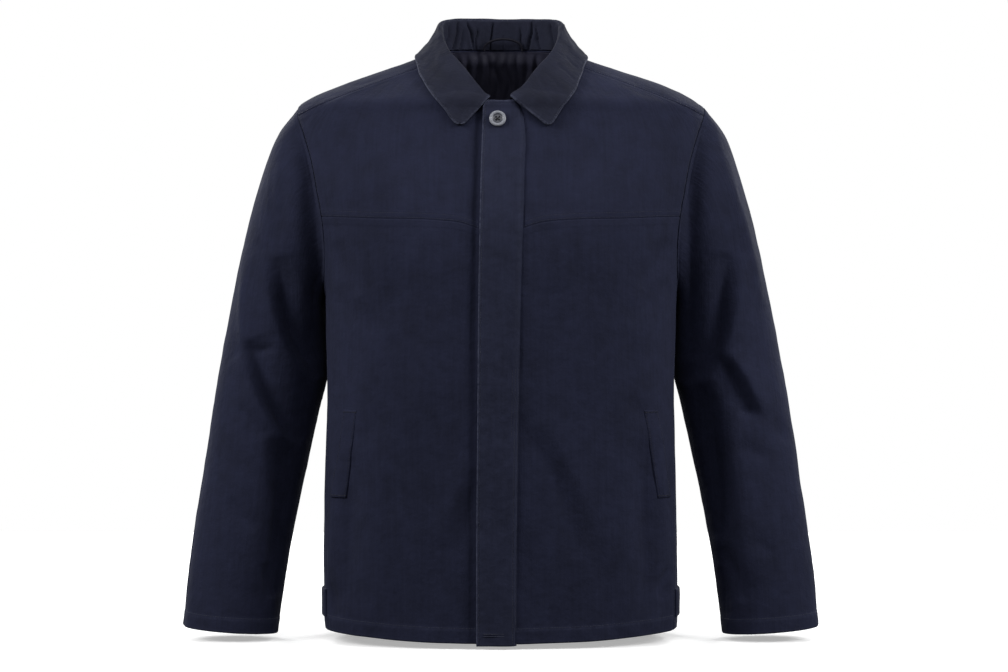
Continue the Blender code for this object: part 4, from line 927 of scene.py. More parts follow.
def beside_fly(points):
    """Hollow of the fronts beside the fly: wide along its free edge, a fine groove at the other."""
    heights, free, sewn = np.array(PLACKET).T
    height = points[..., 2]
    outside = smooth(heights, free, height) - points[..., 0]
    beyond = points[..., 0] - smooth(heights, sewn, height)
    deeper = 0.45 + 0.55 * ease(-0.46, -0.30, height)
    hollow = 0.0030 * deeper * bell(outside - 0.0035, 0.0065)
    plain_edge = 0.35 + 0.65 * ease(-0.400, -0.385, height)
    return hollow + 0.0012 * plain_edge * bell(beyond - 0.0005, 0.0011)


yoke_end = armhole(YOKE_TURN)
yoke_x = np.linspace(FRONT_EDGE, on_form(*yoke_end)[0], 300)
yoke_z = smooth(*zip(*YOKE_SEAM), yoke_x)
yoke_z += (yoke_end[1] - yoke_z[-1]) * np.linspace(0, 1, 300) ** 2
yoke_line = pairs(front_angle(yoke_x, yoke_z), yoke_z)
yoke_line[-1] = yoke_end

neck_front = np.linspace(float(front_angle(FRONT_EDGE, -0.0625)), NECK_POINT, 200)
yoke_top = np.concatenate([pairs(neck_front, neck_height(neck_front)), shoulder_seam[1:]])
up = spaced(0.165, YOKE_STEP)
across = spaced(0.295, YOKE_STEP, start=False)
for label, side in SIDES:
    turns = np.linspace(YOKE_TURN, SHOULDER_TURN, 400)
    arm_line = armhole(turns)
    arm_up = spread(arm_line, up)
    arm_run = lengths(on_form(*arm_line.T), 0)
    turns = np.interp(up, arm_run / arm_run[-1], turns)
    heights = np.interp(arm_up[:, 1], arm_up[[0, -1], 1], [yoke_line[0, 1], yoke_top[0, 1]])
    edge = pairs(front_angle(FRONT_EDGE, heights), heights)
    grid = patch(spread(yoke_line, across), spread(yoke_top, across), edge, arm_up, across, up)
    arm = (slice(None), -1, turns, side)
    points, normals, away, relief = torso_grid(mirrored(grid, side), [arm], ("foot", "top", "right"),
                                               seed=30 + side, body_rumple=0.8)
    relief -= beside_fly(points)
    relief += seam_relief(away["foot"], away["left"], 33 + side, roll=0.0006)
    relief += seam_relief(away["top"], away["left"], 36 + side)
    relief += seam_relief(away["right"], away["foot"], 39 + side)
    for row in YOKE_ROWS_OF_STITCHES:
        relief += stitch_groove(away["foot"], row, 0.00018)
    relief += stitch_groove(away["right"], SEAM_STITCH)
    points = draw_in(points + relief[..., None] * normals)
    normals[0] = unit(normals[0] + np.array([0, 0, SEAM_SLANT]))
    worn = 0.08 * np.exp(-away["foot"] / 0.0012) + 0.15 * np.exp(-away["right"] / 0.0016)
    yoke = cloth_piece("front_yoke_cloth_" + label, points, normals, CLOTH, navy_twill,
                       pairs(away["left"], 0.5 + away["foot"]), worn)
    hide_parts("front_yoke_" + label)
    rows = [across_rows(points, normals, away["foot"], row) for row in YOKE_ROWS_OF_STITCHES]
    rows += [line_at(points, normals, away["right"], SEAM_STITCH)]
    yoke_stitches = stitch_row("front_yoke_stitches_" + label, rows, navy_thread,
                               thread=0.00024)

# ================================================================ front panels
# Lower fronts of the same twill, from the chest seam to the stitched hem, joined to the back
# by the side seams. The fly hides their front edges.
PANEL_STEP = 0.0029
up = spaced(0.515, PANEL_STEP)
across = spaced(0.262, PANEL_STEP, start=False)
for label, side in SIDES:
    turns = np.linspace(SIDE_TURN, YOKE_TURN, 300)
    side_line = np.concatenate([side_seam, armhole(turns)[1:]])
    rows_up = spread(side_line, up)
    hem = hem_line(float(front_angle(FRONT_EDGE, -0.7165)), side_foot, across)
    heights = np.interp(rows_up[:, 1], rows_up[[0, -1], 1], [hem[0, 1], yoke_line[0, 1]])
    edge = pairs(front_angle(FRONT_EDGE, heights), heights)
    grid = patch(hem, spread(yoke_line, across), edge, rows_up, across, up)
    arm_rows, arm_turns_up = along_armhole(rows_up, turns)
    arm = (arm_rows, -1, arm_turns_up, side)
    points, normals, away, relief = torso_grid(mirrored(grid, side), [arm], ("top", "right"),
                                               seed=50 + side)
    relief -= beside_fly(points)
    relief += hem_relief(away["foot"], away["left"], 53 + side)
    relief += seam_relief(away["top"], away["left"], 56 + side, roll=0.0006)
    relief += seam_relief(away["right"], away["foot"], 59 + side)
    points = draw_in(points + relief[..., None] * normals)
    normals[-1] = unit(normals[-1] + np.array([0, 0, SEAM_SLANT]))
    worn = hem_wear(away["foot"]) + 0.15 * np.exp(-away["right"] / 0.0016)
    panel = cloth_piece("front_panel_cloth_" + label, points, normals, CLOTH, navy_twill,
                        pairs(away["left"], away["foot"]), worn)
    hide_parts("front_panel_" + label)
    rows = [across_rows(points, normals, away["foot"], HEM_DEPTH)]
    panel_stitches = stitch_row("front_panel_stitches_" + label, rows, navy_thread)

# ================================================================ sleeves
# One-piece sleeves of the same twill, closed by a seam under the arm, set into the armholes
# with a little fullness at the head, and finished by a turned and stitched cuff hem.
SLEEVE_CREASES = crease_rows(
    "front",
    # wearer's right sleeve, front: the dip beside the armhole and the ridge down its outer side
    (0.0095, 0.019, 0.01, (-0.224, -0.085), (-0.229, -0.13), (-0.227, -0.2), (-0.223, -0.26),
     (-0.22, -0.33), (-0.219, -0.38)),
    (-0.005, 0.008, 0.013, (-0.319, -0.235), (-0.32, -0.29), (-0.3185, -0.34), (-0.316, -0.4)),
    # the groove that runs down to the armpit's foot, with a ridge on its outer side
    (0.01, 0.008, 0.02, (-0.276, -0.25), (-0.27, -0.285), (-0.264, -0.315), (-0.258, -0.336),
     (-0.244, -0.367), (-0.232, -0.388), (-0.226, -0.4)),
    (-0.0052, 0.017, 0.008, (-0.292, -0.24), (-0.287, -0.29), (-0.28, -0.325), (-0.266, -0.362),
     (-0.25, -0.388), (-0.241, -0.404)),
    # the elbow: a sharp-lipped fold that opens into a dark hollow on its inner side
    (0.0038, 0.006, 0.006, (-0.315, -0.361), (-0.3, -0.3645), (-0.278, -0.36)),
    (0.012, 0.007, 0.023, (-0.313, -0.352), (-0.304, -0.376), (-0.296, -0.399), (-0.285, -0.425),
     (-0.273, -0.446), (-0.258, -0.467), (-0.243, -0.476)),
    (-0.0058, 0.015, 0.007, (-0.325, -0.37), (-0.312, -0.395), (-0.301, -0.424), (-0.287, -0.449),
     (-0.27, -0.47), (-0.254, -0.484)),
    # below it the front turns away from the bright outer plane to a darker inner one
    (-0.0046, 0.022, 0.008, (-0.294, -0.465), (-0.288, -0.51), (-0.287, -0.56), (-0.292, -0.61),
     (-0.297, -0.66)),
    (0.0075, 0.01, 0.019, (-0.274, -0.47), (-0.273, -0.52), (-0.274, -0.575), (-0.28, -0.625),
     (-0.283, -0.67)),
    (0.0046, 0.006, 0.01, (-0.291, -0.626), (-0.2885, -0.643), (-0.281, -0.672)),
    (0.0026, 0.01, 0.008, (-0.334, -0.545), (-0.318, -0.568), (-0.298, -0.584)),
    (0.0024, 0.009, 0.009, (-0.322, -0.432), (-0.306, -0.452), (-0.288, -0.474)),
    (0.0024, 0.009, 0.012, (-0.262, -0.15), (-0.27, -0.19), (-0.272, -0.235)),
    # wearer's left sleeve, front
    (0.0095, 0.01, 0.019, (0.224, -0.085), (0.229, -0.13), (0.231, -0.2), (0.232, -0.26),
     (0.232, -0.32), (0.23, -0.38)),
    (-0.005, 0.013, 0.009, (0.274, -0.12), (0.29, -0.175), (0.306, -0.228), (0.317, -0.27), (0.323, -0.315)),
    (0.0108, 0.02, 0.008, (0.281, -0.246), (0.277, -0.276), (0.273, -0.301), (0.27, -0.322),
     (0.262, -0.355), (0.247, -0.38), (0.235, -0.396), (0.226, -0.406)),
    (-0.0056, 0.008, 0.018, (0.297, -0.245), (0.293, -0.3), (0.288, -0.332), (0.277, -0.368),
     (0.262, -0.395), (0.248, -0.416)),
    (0.0092, 0.021, 0.008, (0.264, -0.37), (0.277, -0.387), (0.291, -0.409), (0.302, -0.43),
     (0.311, -0.441), (0.32, -0.45)),
    (-0.0052, 0.007, 0.014, (0.28, -0.366), (0.298, -0.392), (0.31, -0.414), (0.319, -0.431),
     (0.328, -0.446)),
    (0.003, 0.005, 0.005, (0.292, -0.4365), (0.306, -0.44), (0.317, -0.438)),
    (0.0085, 0.021, 0.016, (0.247, -0.405), (0.256, -0.45), (0.26, -0.5), (0.267, -0.555), (0.27, -0.6)),
    (-0.0044, 0.008, 0.022, (0.28, -0.455), (0.285, -0.5), (0.293, -0.553), (0.297, -0.6), (0.3, -0.655)),
    (0.0056, 0.01, 0.01, (0.272, -0.606), (0.283, -0.629), (0.291, -0.644), (0.297, -0.674)),
    (0.0036, 0.008, 0.008, (0.27, -0.632), (0.274, -0.662), (0.278, -0.695)),
    (0.0025, 0.01, 0.009, (0.336, -0.452), (0.346, -0.464), (0.356, -0.482)),
    (0.0024, 0.01, 0.01, (0.288, -0.482), (0.312, -0.49), (0.334, -0.5)),
    (0.0022, 0.01, 0.01, (0.306, -0.592), (0.322, -0.606), (0.336, -0.616)),
) + crease_rows(
    "back",
    # backs of both: slack that gathers over the elbows, and a long ridge below it
    (0.0058, 0.01, 0.02, (-0.236, -0.3), (-0.262, -0.336), (-0.3, -0.364), (-0.34, -0.378)),
    (-0.003, 0.012, 0.008, (-0.248, -0.286), (-0.28, -0.322), (-0.33, -0.35)),
    (0.0068, 0.018, 0.008, (-0.25, -0.396), (-0.28, -0.424), (-0.312, -0.434), (-0.35, -0.432)),
    (0.003, 0.012, 0.01, (-0.262, -0.45), (-0.296, -0.474), (-0.34, -0.484)),
    (-0.0036, 0.018, 0.012, (-0.296, -0.46), (-0.304, -0.54), (-0.312, -0.64)),
    (0.0018, 0.01, 0.009, (-0.3, -0.548), (-0.324, -0.572), (-0.35, -0.588)),
    (0.005, 0.016, 0.01, (-0.228, -0.1), (-0.232, -0.17), (-0.226, -0.25), (-0.222, -0.33)),
    (0.0062, 0.02, 0.01, (0.236, -0.31), (0.262, -0.35), (0.298, -0.38), (0.338, -0.396)),
    (-0.0032, 0.008, 0.012, (0.248, -0.294), (0.278, -0.33), (0.326, -0.362)),
    (0.0064, 0.008, 0.018, (0.252, -0.408), (0.28, -0.438), (0.314, -0.45), (0.35, -0.446)),
    (0.0028, 0.01, 0.012, (0.268, -0.466), (0.3, -0.49), (0.344, -0.498)),
    (-0.0032, 0.012, 0.018, (0.294, -0.478), (0.306, -0.56), (0.316, -0.66)),
    (0.0018, 0.009, 0.01, (0.304, -0.57), (0.328, -0.592), (0.352, -0.612)),
    (0.005, 0.01, 0.016, (0.228, -0.096), (0.233, -0.165), (0.227, -0.245), (0.223, -0.325)),
)
SLEEVE_STEP = 0.0029
SLEEVE_COLUMNS = 168
CUFF_HEM = 0.0190

share_down = spaced(0.655, SLEEVE_STEP)
sleeve_turns = np.linspace(0, 360, SLEEVE_COLUMNS, endpoint=False)
for label, side in SIDES:
    share, turn = np.broadcast_arrays(share_down[:, None], sleeve_turns[None, :])
    base = sleeve_surface(share, turn, side)
    normals = sleeve_normal(share, turn, side)
    depth = crease_depth(base, normals, SLEEVE_CREASES) * ease(0, 0.014, share)
    down = lengths(base, 0)
    to_cuff = down[-1:] - down
    round_arm = lengths(closed(base), 1)
    from_seam = np.abs(round_arm[:, :-1] - round_arm[:, [SLEEVE_COLUMNS // 2]])
    around = round_arm[:, :-1]
    relief = rumple(around * np.cos(np.radians(turn / 2)) ** 2 + 0.5, down, 70 + side, 1.3)
    relief += seam_relief(down, around, 73 + side, pucker=0.00070)
    head = bell(down, 0.022) * np.clip(np.cos(np.radians(turn)), 0, 1)
    relief += 0.0007 * head * wander(around, 0.0105, 76 + side)
    relief += hem_relief(to_cuff, around, 79 + side, CUFF_HEM, rope=0.0006)
    relief += seam_relief(from_seam, down, 82 + side, roll=0.0007) * ease(0.0, 0.01, down)
    normals[0] = armhole_normals(sleeve_turns, side)[1]
    points = base + (relief - depth)[..., None] * normals
    points[0] = base[0] + np.array([side * SEAM_GAP, 0, 0]) - 0.0006 * normals[0]
    worn = hem_wear(to_cuff, 0.80) + 0.12 * np.exp(-down / 0.0018)
    sleeve = cloth_piece("sleeve_cloth_" + label, points, normals, CLOTH, navy_twill,
                         pairs(around, down), worn, tube=True)
    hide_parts("sleeve_" + label)
    hem_row = across_rows(closed(points), closed(normals), closed(to_cuff), CUFF_HEM)
    sleeve_stitches = stitch_row("sleeve_stitches_" + label, [hem_row], navy_thread)

# ================================================================ collar
# A turned-down collar of two layers with interlining: stand and fall in one, rolled over at the
# fold. Its edge is stitched close in and has rubbed pale, and its inner side is gathered.
Station = namedtuple("Station", "angle fold_x fold_y fold_z leaf_angle leaf_height")
COLLAR_BACK = (
    Station(95.0, 0.0745, 0.0380, 0.0505, 93.0, 0.0022),
    Station(115.0, 0.0640, 0.0530, 0.0555, 113.0, 0.0010),
    Station(140.0, 0.0430, 0.0640, 0.0575, 139.0, 0.0000),
    Station(180.0, 0.0000, 0.0690, 0.0580, 180.0, 0.0010),
)
COLLAR_LEFT = (
    Station(6.0, 0.0120, -0.0964, -0.0570, 26.5, -0.0970),
    Station(16.0, 0.0258, -0.0870, -0.0450, 30.7, -0.0855),
    Station(28.0, 0.0415, -0.0630, -0.0222, 36.8, -0.0660),
    Station(42.0, 0.0590, -0.0350, -0.0001, 46.1, -0.0494),
    Station(60.0, 0.0690, -0.0060, 0.0200, 57.8, -0.0308),
    Station(80.0, 0.0735, 0.0200, 0.0400, 76.3, -0.0085),
) + COLLAR_BACK
COLLAR_RIGHT = (
    Station(6.0, 0.0160, -0.0950, -0.0565, 22.6, -0.0985),
    Station(16.0, 0.0250, -0.0870, -0.0452, 27.9, -0.0862),
    Station(28.0, 0.0415, -0.0630, -0.0222, 34.8, -0.0665),
    Station(42.0, 0.0590, -0.0350, -0.0001, 45.3, -0.0488),
    Station(60.0, 0.0690, -0.0060, 0.0200, 57.8, -0.0309),
    Station(80.0, 0.0735, 0.0200, 0.0400, 77.2, -0.0072),
) + COLLAR_BACK
COLLAR_CLOTH = 0.0024
COLLAR_END = 6.0
FOLD_RADIUS = 0.0022
FALL_BOW = ((6, 0.0013), (40, 0.0008), (70, -0.0024), (180, -0.0024))
LEAF_LIFT = 0.0028
LEAF_OVER_FLY = 0.0020
FLY_CORNER = (0.034, 0.050)
# Gathers of the inner side at the back neck: place across, depth, lean and how far up they run
Gather = namedtuple("Gather", "across depth lean rise")
COLLAR_GATHERS = (
    Gather(-0.067, 0.0020, 0.16, 0.95), Gather(-0.057, 0.0028, 0.20, 1.00),
    Gather(-0.049, 0.0020, 0.12, 0.65), Gather(-0.0385, 0.0032, -0.26, 1.00),
    Gather(-0.031, 0.0021, 0.10, 0.75), Gather(-0.012, 0.0034, 0.06, 1.00),
    Gather(0.004, 0.0013, 0.00, 0.50), Gather(0.0245, 0.0022, -0.10, 0.80),
    Gather(0.038, 0.0034, 0.12, 1.00), Gather(0.046, 0.0024, -0.18, 0.85),
    Gather(0.064, 0.0028, -0.12, 1.00))
STAND_ROWS = 34
ROLL_ROWS = 9
TIP_ROUNDS = (0.0065, 0.0110)  # how far in each leaf's tip is rounded, left and right
EDGE_STITCH = 0.0024
STITCH_INSET = 0.004          # from the leaf's ends to the ends of its row of stitches

line = np.linspace(COLLAR_END, 360 - COLLAR_END, 800)
collar_run = lengths(on_form(line, neck_height(line)), 0)
collar_share = spaced(collar_run[-1], 0.00125, fine=0.0008, reach=0.010)
collar_angle = np.interp(collar_share * collar_run[-1], collar_run, line)
turned = one_sided(collar_angle)
sides = np.where(collar_angle > 180, -1.0, 1.0)


def collar_column(name):
    left = column(COLLAR_LEFT, name, turned, key="angle")
    return np.where(sides > 0, left, column(COLLAR_RIGHT, name, turned, key="angle"))


def leaf_lift(across):
    """Leaf edge clear of the shell, and more where it lies over the fly's corner."""
    near, far = FLY_CORNER
    return LEAF_LIFT + LEAF_OVER_FLY * np.clip((far - across) / (far - near), 0, 1) * (across > 0)


neck_points = on_form(collar_angle, neck_height(collar_angle))
roll_line = np.stack([collar_column("fold_x") * sides, collar_column("fold_y"),
                      collar_column("fold_z")], axis=-1)
leaf_angle = collar_column("leaf_angle") * sides
leaf_height = collar_column("leaf_height")
leaf, leaf_normal = folded_form(leaf_angle, leaf_height,
                                leaf_lift(on_form(leaf_angle, leaf_height)[:, 0]))
stand_up = unit(roll_line - neck_points)
along_neck = unit(np.gradient(neck_points, axis=0))
outward = unit(np.cross(along_neck, stand_up))
fall_down = leaf - roll_line
fall_down = unit(fall_down - np.sum(fall_down * along_neck, axis=-1, keepdims=True) * along_neck)
drop = np.sum(fall_down * stand_up, axis=-1, keepdims=True)
spread_out = np.sum(fall_down * outward, axis=-1, keepdims=True)
fall_normal = unit(spread_out * stand_up - drop * outward)
bend = np.arctan2(spread_out, drop) % (2 * np.pi)


def bend_normal(part):
    """Direction out of the roll, part of the way round it."""
    return -np.cos(bend * part) * outward + np.sin(bend * part) * stand_up


roll_centre = roll_line - (FOLD_RADIUS + COLLAR_CLOTH) * bend_normal(0.5)
stand_foot = neck_points + SEAM_GAP * stand_up
stand_top = roll_centre - FOLD_RADIUS * outward
leaf_top = roll_centre + FOLD_RADIUS * fall_normal
bow = smooth(*zip(*FALL_BOW), turned)[None, :, None]
rise = np.linspace(0, 1, STAND_ROWS)[:, None, None]
stand = stand_foot * (1 - rise) + stand_top * rise
stand_facing = np.broadcast_to(-outward, stand.shape)
part = np.linspace(0, 1, ROLL_ROWS + 2)[1:-1, None, None]
roll_facing = bend_normal(part)
roll = roll_centre + FOLD_RADIUS * roll_facing
fall_share = spaced(0.055, 0.00125, start=False, fine=0.0006, reach=0.006)[:, None, None]
bow_shape = smooth((0, 0.16, 0.40, 0.72, 1.0), (0, 0.6, 1.0, 0.7, 0), fall_share)
fall = leaf_top * (1 - fall_share) + leaf * fall_share + bow_shape * bow * fall_normal
fall_facing = unit(fall_normal * (1 - fall_share) + leaf_normal * fall_share)

place = onto_form(fall)
surface, surface_normal = folded_form(place[..., 0], place[..., 1])
clearance = np.sum((fall - surface) * surface_normal, axis=-1)
short = np.clip(leaf_lift(fall[..., 0]) - clearance, 0, None)[..., None] * surface_normal
fall = fall + short
roll = roll + part ** 2 * short[:1]

under = np.concatenate([stand, roll, fall])
facing = np.concatenate([stand_facing, roll_facing, fall_facing])
if len(under) % 2 == 0:
    under = np.concatenate([under[:1], under[:1] * 0.5 + under[1:2] * 0.5, under[1:]])
    facing = np.concatenate([facing[:1], facing[:1], facing[1:]])
outer = under + COLLAR_CLOTH * facing
from_foot = lengths(outer, 0)
from_leaf = from_foot[-1:] - from_foot
from_end = lengths(outer, 1)
to_end = from_end[:, -1:] - from_end
from_front = np.minimum(from_end, to_end)

# gathers: narrow troughs with a soft swell on both sides, from the neck seam up to the roll
stand_height = np.linalg.norm(stand_top - stand_foot, axis=-1)[None, :]
height_up = np.clip(from_foot / stand_height, 0, 1.3)
x_here = outer[..., 0]
gathered = np.zeros_like(x_here)
for gather in COLLAR_GATHERS:
    offset = x_here - gather.across - gather.lean * (from_foot - 0.02)
    offset += 0.0010 * wander(from_foot, 0.011, int(1000 * abs(gather.across)) + 3)
    fade = 1 - ease(0.75 * gather.rise, 1.15 * gather.rise, height_up)
    gathered += gather.depth * fade * (bell(np.abs(offset), 0.0013, 1.6)
                                       - 0.34 * bell(np.abs(offset) - 0.0046, 0.0030))
behind = ease(74, 100, turned)[None, :]
inner_side = 1 - ease(1.02, 1.22, height_up)
gathered *= behind * inner_side
fine_gathers = 0.00035 * wander(x_here + 0.1 * from_foot, 0.0042, 91) * behind * inner_side

on_leaf = ease(0.0, 0.012, from_foot - stand_height)
relief = -gathered + fine_gathers
relief += rumple(from_end, from_foot, 92, 0.45)
relief += on_leaf * 0.00045 * mottled(from_end, from_leaf, 0.006, 0.012, 95) * np.exp(-from_leaf / 0.010)
relief += on_leaf * 0.00060 * mottled(from_end + 0.5 * from_leaf, from_leaf, 0.019, 0.013, 96)
edge_away = np.minimum(from_leaf, from_front + 0.02 * (1 - on_leaf))
relief += -0.0009 * bell(edge_away, 0.0008)
relief += 0.00022 * bell(edge_away - 0.0012, 0.0007)
relief += stitch_groove(edge_away, EDGE_STITCH, 0.00035) * on_leaf
# creases that run in from the roll line, on the wearer's left leaf more than on the right
Ray = namedtuple("Ray", "along_start along_end leaf_start leaf_end width depth")
LEAF_CREASES = (
    Ray(0.052, 0.030, 0.052, 0.018, 0.0032, 0.0009), Ray(0.066, 0.052, 0.050, 0.020, 0.0030, 0.0007),
    Ray(0.092, 0.084, 0.046, 0.012, 0.0036, 0.0008), Ray(0.118, 0.112, 0.040, 0.014, 0.0036, 0.0006),
)
for ray in LEAF_CREASES:
    start = np.array([ray.along_start, ray.leaf_start])
    run = np.array([ray.along_end, ray.leaf_end]) - start
    for ends, strength in ((from_end, 1.0), (to_end, 0.45)):
        flat = pairs(ends, from_leaf)
        along = np.clip(((flat - start) @ run) / (run @ run), 0, 1)
        distance = np.linalg.norm(flat - start - along[..., None] * run, axis=-1)
        relief -= strength * ray.depth * bell(distance, ray.width) * on_leaf
outer = outer + relief[..., None] * facing

# the leaf's tips: a square corner laid round a quarter circle
step_along = unit(np.gradient(outer, axis=1))
step_down = unit(np.gradient(outer, axis=0))
for ends, inward, tip_round in ((from_end, 1.0, TIP_ROUNDS[0]), (to_end, -1.0, TIP_ROUNDS[1])):
    near_end = np.clip(1 - ends / tip_round, 0, 1)
    near_leaf = np.clip(1 - from_leaf / tip_round, 0, 1)
    pulled_along = near_end * (1 - np.sqrt(1 - near_leaf ** 2 / 2)) * tip_round
    pulled_up = near_leaf * (1 - np.sqrt(1 - near_end ** 2 / 2)) * tip_round
    outer = outer + (inward * pulled_along)[..., None] * step_along
    outer = outer - pulled_up[..., None] * step_down
worn = (0.80 * bell(edge_away, 0.0011, 1.5) + 0.18 * np.exp(-edge_away / 0.005)) * on_leaf
worn += 0.20 * bell(height_up - 1.06, 0.05)

# The collar's twill is the body's cloth in a darker tone: painted shade that holds the collar down under the
# lights from above. Its pale fade is real wear at its edges and fold.
COLLAR_SHADED_NAVY = (31, 33, 47)
NAVY_COLLAR_FADED = (84, 88, 108)
collar_shaded_twill = woven("collar_shaded_twill", COLLAR_SHADED_NAVY, NAVY_COLLAR_FADED, crumple=0.0012, patchy=0.85,
                     streaky=0.15)
collar = cloth_piece("collar_cloth", outer, facing, COLLAR_CLOTH, collar_shaded_twill,
                     pairs(from_end, from_foot), worn)
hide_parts("collar")
inside = np.minimum(collar_share, 1 - collar_share) * collar_run[-1] > STITCH_INSET
edge, edge_out = (values[inside] for values in across_rows(outer, facing, from_leaf, EDGE_STITCH))
collar_stitches = stitch_row("collar_stitches", [(edge + 0.00015 * edge_out, edge_out)], navy_thread,
                             pitch=0.0029, length=0.0021)

# ================================================================ back lining
# A smooth dark lining sewn to the neck seam in gathers. It falls behind the neck opening and
# ends where it no longer shows.
LINING_CLOTH = 0.0010
LINING_GATHERS = ((-0.072, 0.0030), (-0.058, 0.0036), (-0.045, 0.0030), (-0.031, 0.0038),
                  (-0.018, 0.0030), (-0.006, 0.0034), (0.008, 0.0028), (0.021, 0.0036),
                  (0.034, 0.0032), (0.047, 0.0036), (0.059, 0.0030), (0.071, 0.0034))
LINING_GATHER_WIDTH = 0.0040
LINING_BOTTOM = -0.130
LINING_FALL = 0.004
LINING_TURNS = (62, 50)       # half of its reach round the neck, at its top and at its foot
LINING_TOP_GAP = 0.0008
LINING_CLEARANCE = 0.0046
LINING_SLACK = 0.0036
# The lining's tone is lighter than the hanger loop's, which is cut from the same lining: painted light that
# lifts it out of the shade inside the neck.
LIT_LINING_TONE = (54, 54, 71)
LINING_FADED = (44, 45, 58)

down = np.linspace(0, 1, 71)[:, None]
half_turn = LINING_TURNS[0] + (LINING_TURNS[1] - LINING_TURNS[0]) * down
turn = 180 + half_turn * np.linspace(-1, 1, 261)[None, :]
height = (neck_height(turn) - LINING_TOP_GAP) * (1 - down ** 1.2) + LINING_BOTTOM * down ** 1.2
surface, normals = folded_form(turn, height)
x_here = surface[..., 0]
slack = np.zeros_like(x_here)
for number, (place, drop_depth) in enumerate(LINING_GATHERS):
    drift = 0.0035 * wander(down, 0.16, 200 + number) * ease(0, 0.15, down)
    slack += drop_depth * np.exp(-np.abs((x_here - place - drift) / LINING_GATHER_WIDTH) ** 1.6)
slack *= 1.25 * (1 - down) ** 0.7
slack += 0.0007 * wander(x_here + 0.004 * down, 0.0040, 240) * (1 - down)
bulged = LINING_CLEARANCE + LINING_SLACK - slack + LINING_FALL * down
sewn_in = ease(0, 0.13, down) ** 0.8
depth = CLOTH + LINING_CLOTH + SEAM_GAP + sewn_in * bulged
lining_face = surface - depth[..., None] * normals
lit_lining_finish = woven("lit_lining_satin", LIT_LINING_TONE, LINING_FADED, rib=0.0005, roughness=0.48,
                      specular=0.30, sheen=0.0, crumple=0.0004, weave=0.00003, patchy=0.15,
                      streaky=0.1)
cut = pairs(lengths(lining_face, 1), lengths(lining_face, 0))
lining = cloth_piece("back_lining_cloth", lining_face, -normals, LINING_CLOTH, lit_lining_finish,
                     cut, np.zeros_like(x_here))
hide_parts("back_lining")

# ================================================================ hanger loop
# A rouleau: a narrow bias strip of the lining sewn into a soft cord, its ends caught in the
# neck seam. It stands in a low arch against the collar's inner side.
LOOP_HALF_SPAN = 0.0245
LOOP_RISE = 0.0150
LOOP_RADIUS = 0.0015
LOOP_MIDDLE = 0.0030
LOOP_FOOT = 0.0155
LOOP_PLACE = 0.0602
LOOP_LEAN = 0.0040
LOOP_RINGS = 90
LOOP_SIDES = 16
NAVY_LOOP = (30, 30, 41)


def tube(route, radius, sides, upright=(0.0, -1.0, 0.0)):
    """Rings of a tube along a route: radius times cos and sin, square to the route."""
    ahead = unit(np.gradient(route, axis=0))
    across_it = unit(np.cross(ahead, np.broadcast_to(upright, route.shape)))
    out_of_it = np.cross(across_it, ahead)
    turn = full_turn(sides)
    radius = np.broadcast_to(np.asarray(radius, float), (len(route), sides))[..., None]
    ring = np.cos(turn)[:, None] * across_it[:, None] + np.sin(turn)[:, None] * out_of_it[:, None]
    return route[:, None] + radius * ring


def tube_faces(rings, sides, start=0):
    """Quads round a tube and its two end caps."""
    index = closed(start + np.arange(rings * sides).reshape(rings, sides))
    side_faces = np.stack([index[:-1, :-1], index[1:, :-1], index[1:, 1:], index[:-1, 1:]],
                          axis=-1).reshape(-1, 4)
    caps = np.stack([index[0, :-1], index[-1, :-1][::-1]])
    return [side_faces, caps]


loop_turn = np.linspace(0, np.pi, LOOP_RINGS)
loop_route = np.stack([LOOP_MIDDLE - LOOP_HALF_SPAN * np.cos(loop_turn),
                       LOOP_PLACE - LOOP_LEAN * np.sin(loop_turn),
                       LOOP_FOOT + LOOP_RISE * np.sin(loop_turn) ** 0.8], axis=-1)
loop_length = lengths(loop_route, 0)
turn = full_turn(LOOP_SIDES)
seam_dent = 0.10 * bell(turn - 1.9, 0.35)[None, :]
twist = 0.05 * wander(loop_length, 0.006, 300)[:, None]
loop_rings = tube(loop_route, LOOP_RADIUS * (1 - seam_dent + twist), LOOP_SIDES)
loop_cut = pairs(turn[None, :] * LOOP_RADIUS, loop_length[:, None])
mesh = make_mesh("hanger_loop_cord", loop_rings.reshape(-1, 3), tube_faces(LOOP_RINGS, LOOP_SIDES),
                 loop_cut.reshape(-1, 2), np.zeros(LOOP_RINGS * LOOP_SIDES))
loop_finish = woven("loop_satin", NAVY_LOOP, LINING_FADED, rib=0.0005, roughness=0.60,
                    sheen=0.0, crumple=0.0002, weave=0.00003, patchy=0.15, streaky=0.1)
loop = add_piece("hanger_loop_cord", mesh, loop_finish)
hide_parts("hanger_loop")

# ================================================================ placket
# The fly: a doubled strip of the twill that covers the zip on the wearer's left front. Its free
# edge is stitched close in, and two rows and a bar tack hold it down along the other side.
LAID_GAP = 0.0007
PLACKET_LIFT = 0.0018
PLACKET_CORNER = 0.010
PLACKET_FALL = 0.012
PLACKET_STITCHES = ((0.0012, -1.0), (0.0048, -1.0), (0.0084, -0.468))  # in from the edge, down to
STITCHED_BELOW = -0.386                 # above this its edge is plain, caught from inside
FREE_STITCH = 0.0030
FLY_THICKNESS = 0.0016
NAVY_FLY = (37, 40, 59)
NAVY_FLY_FADED = (88, 92, 112)

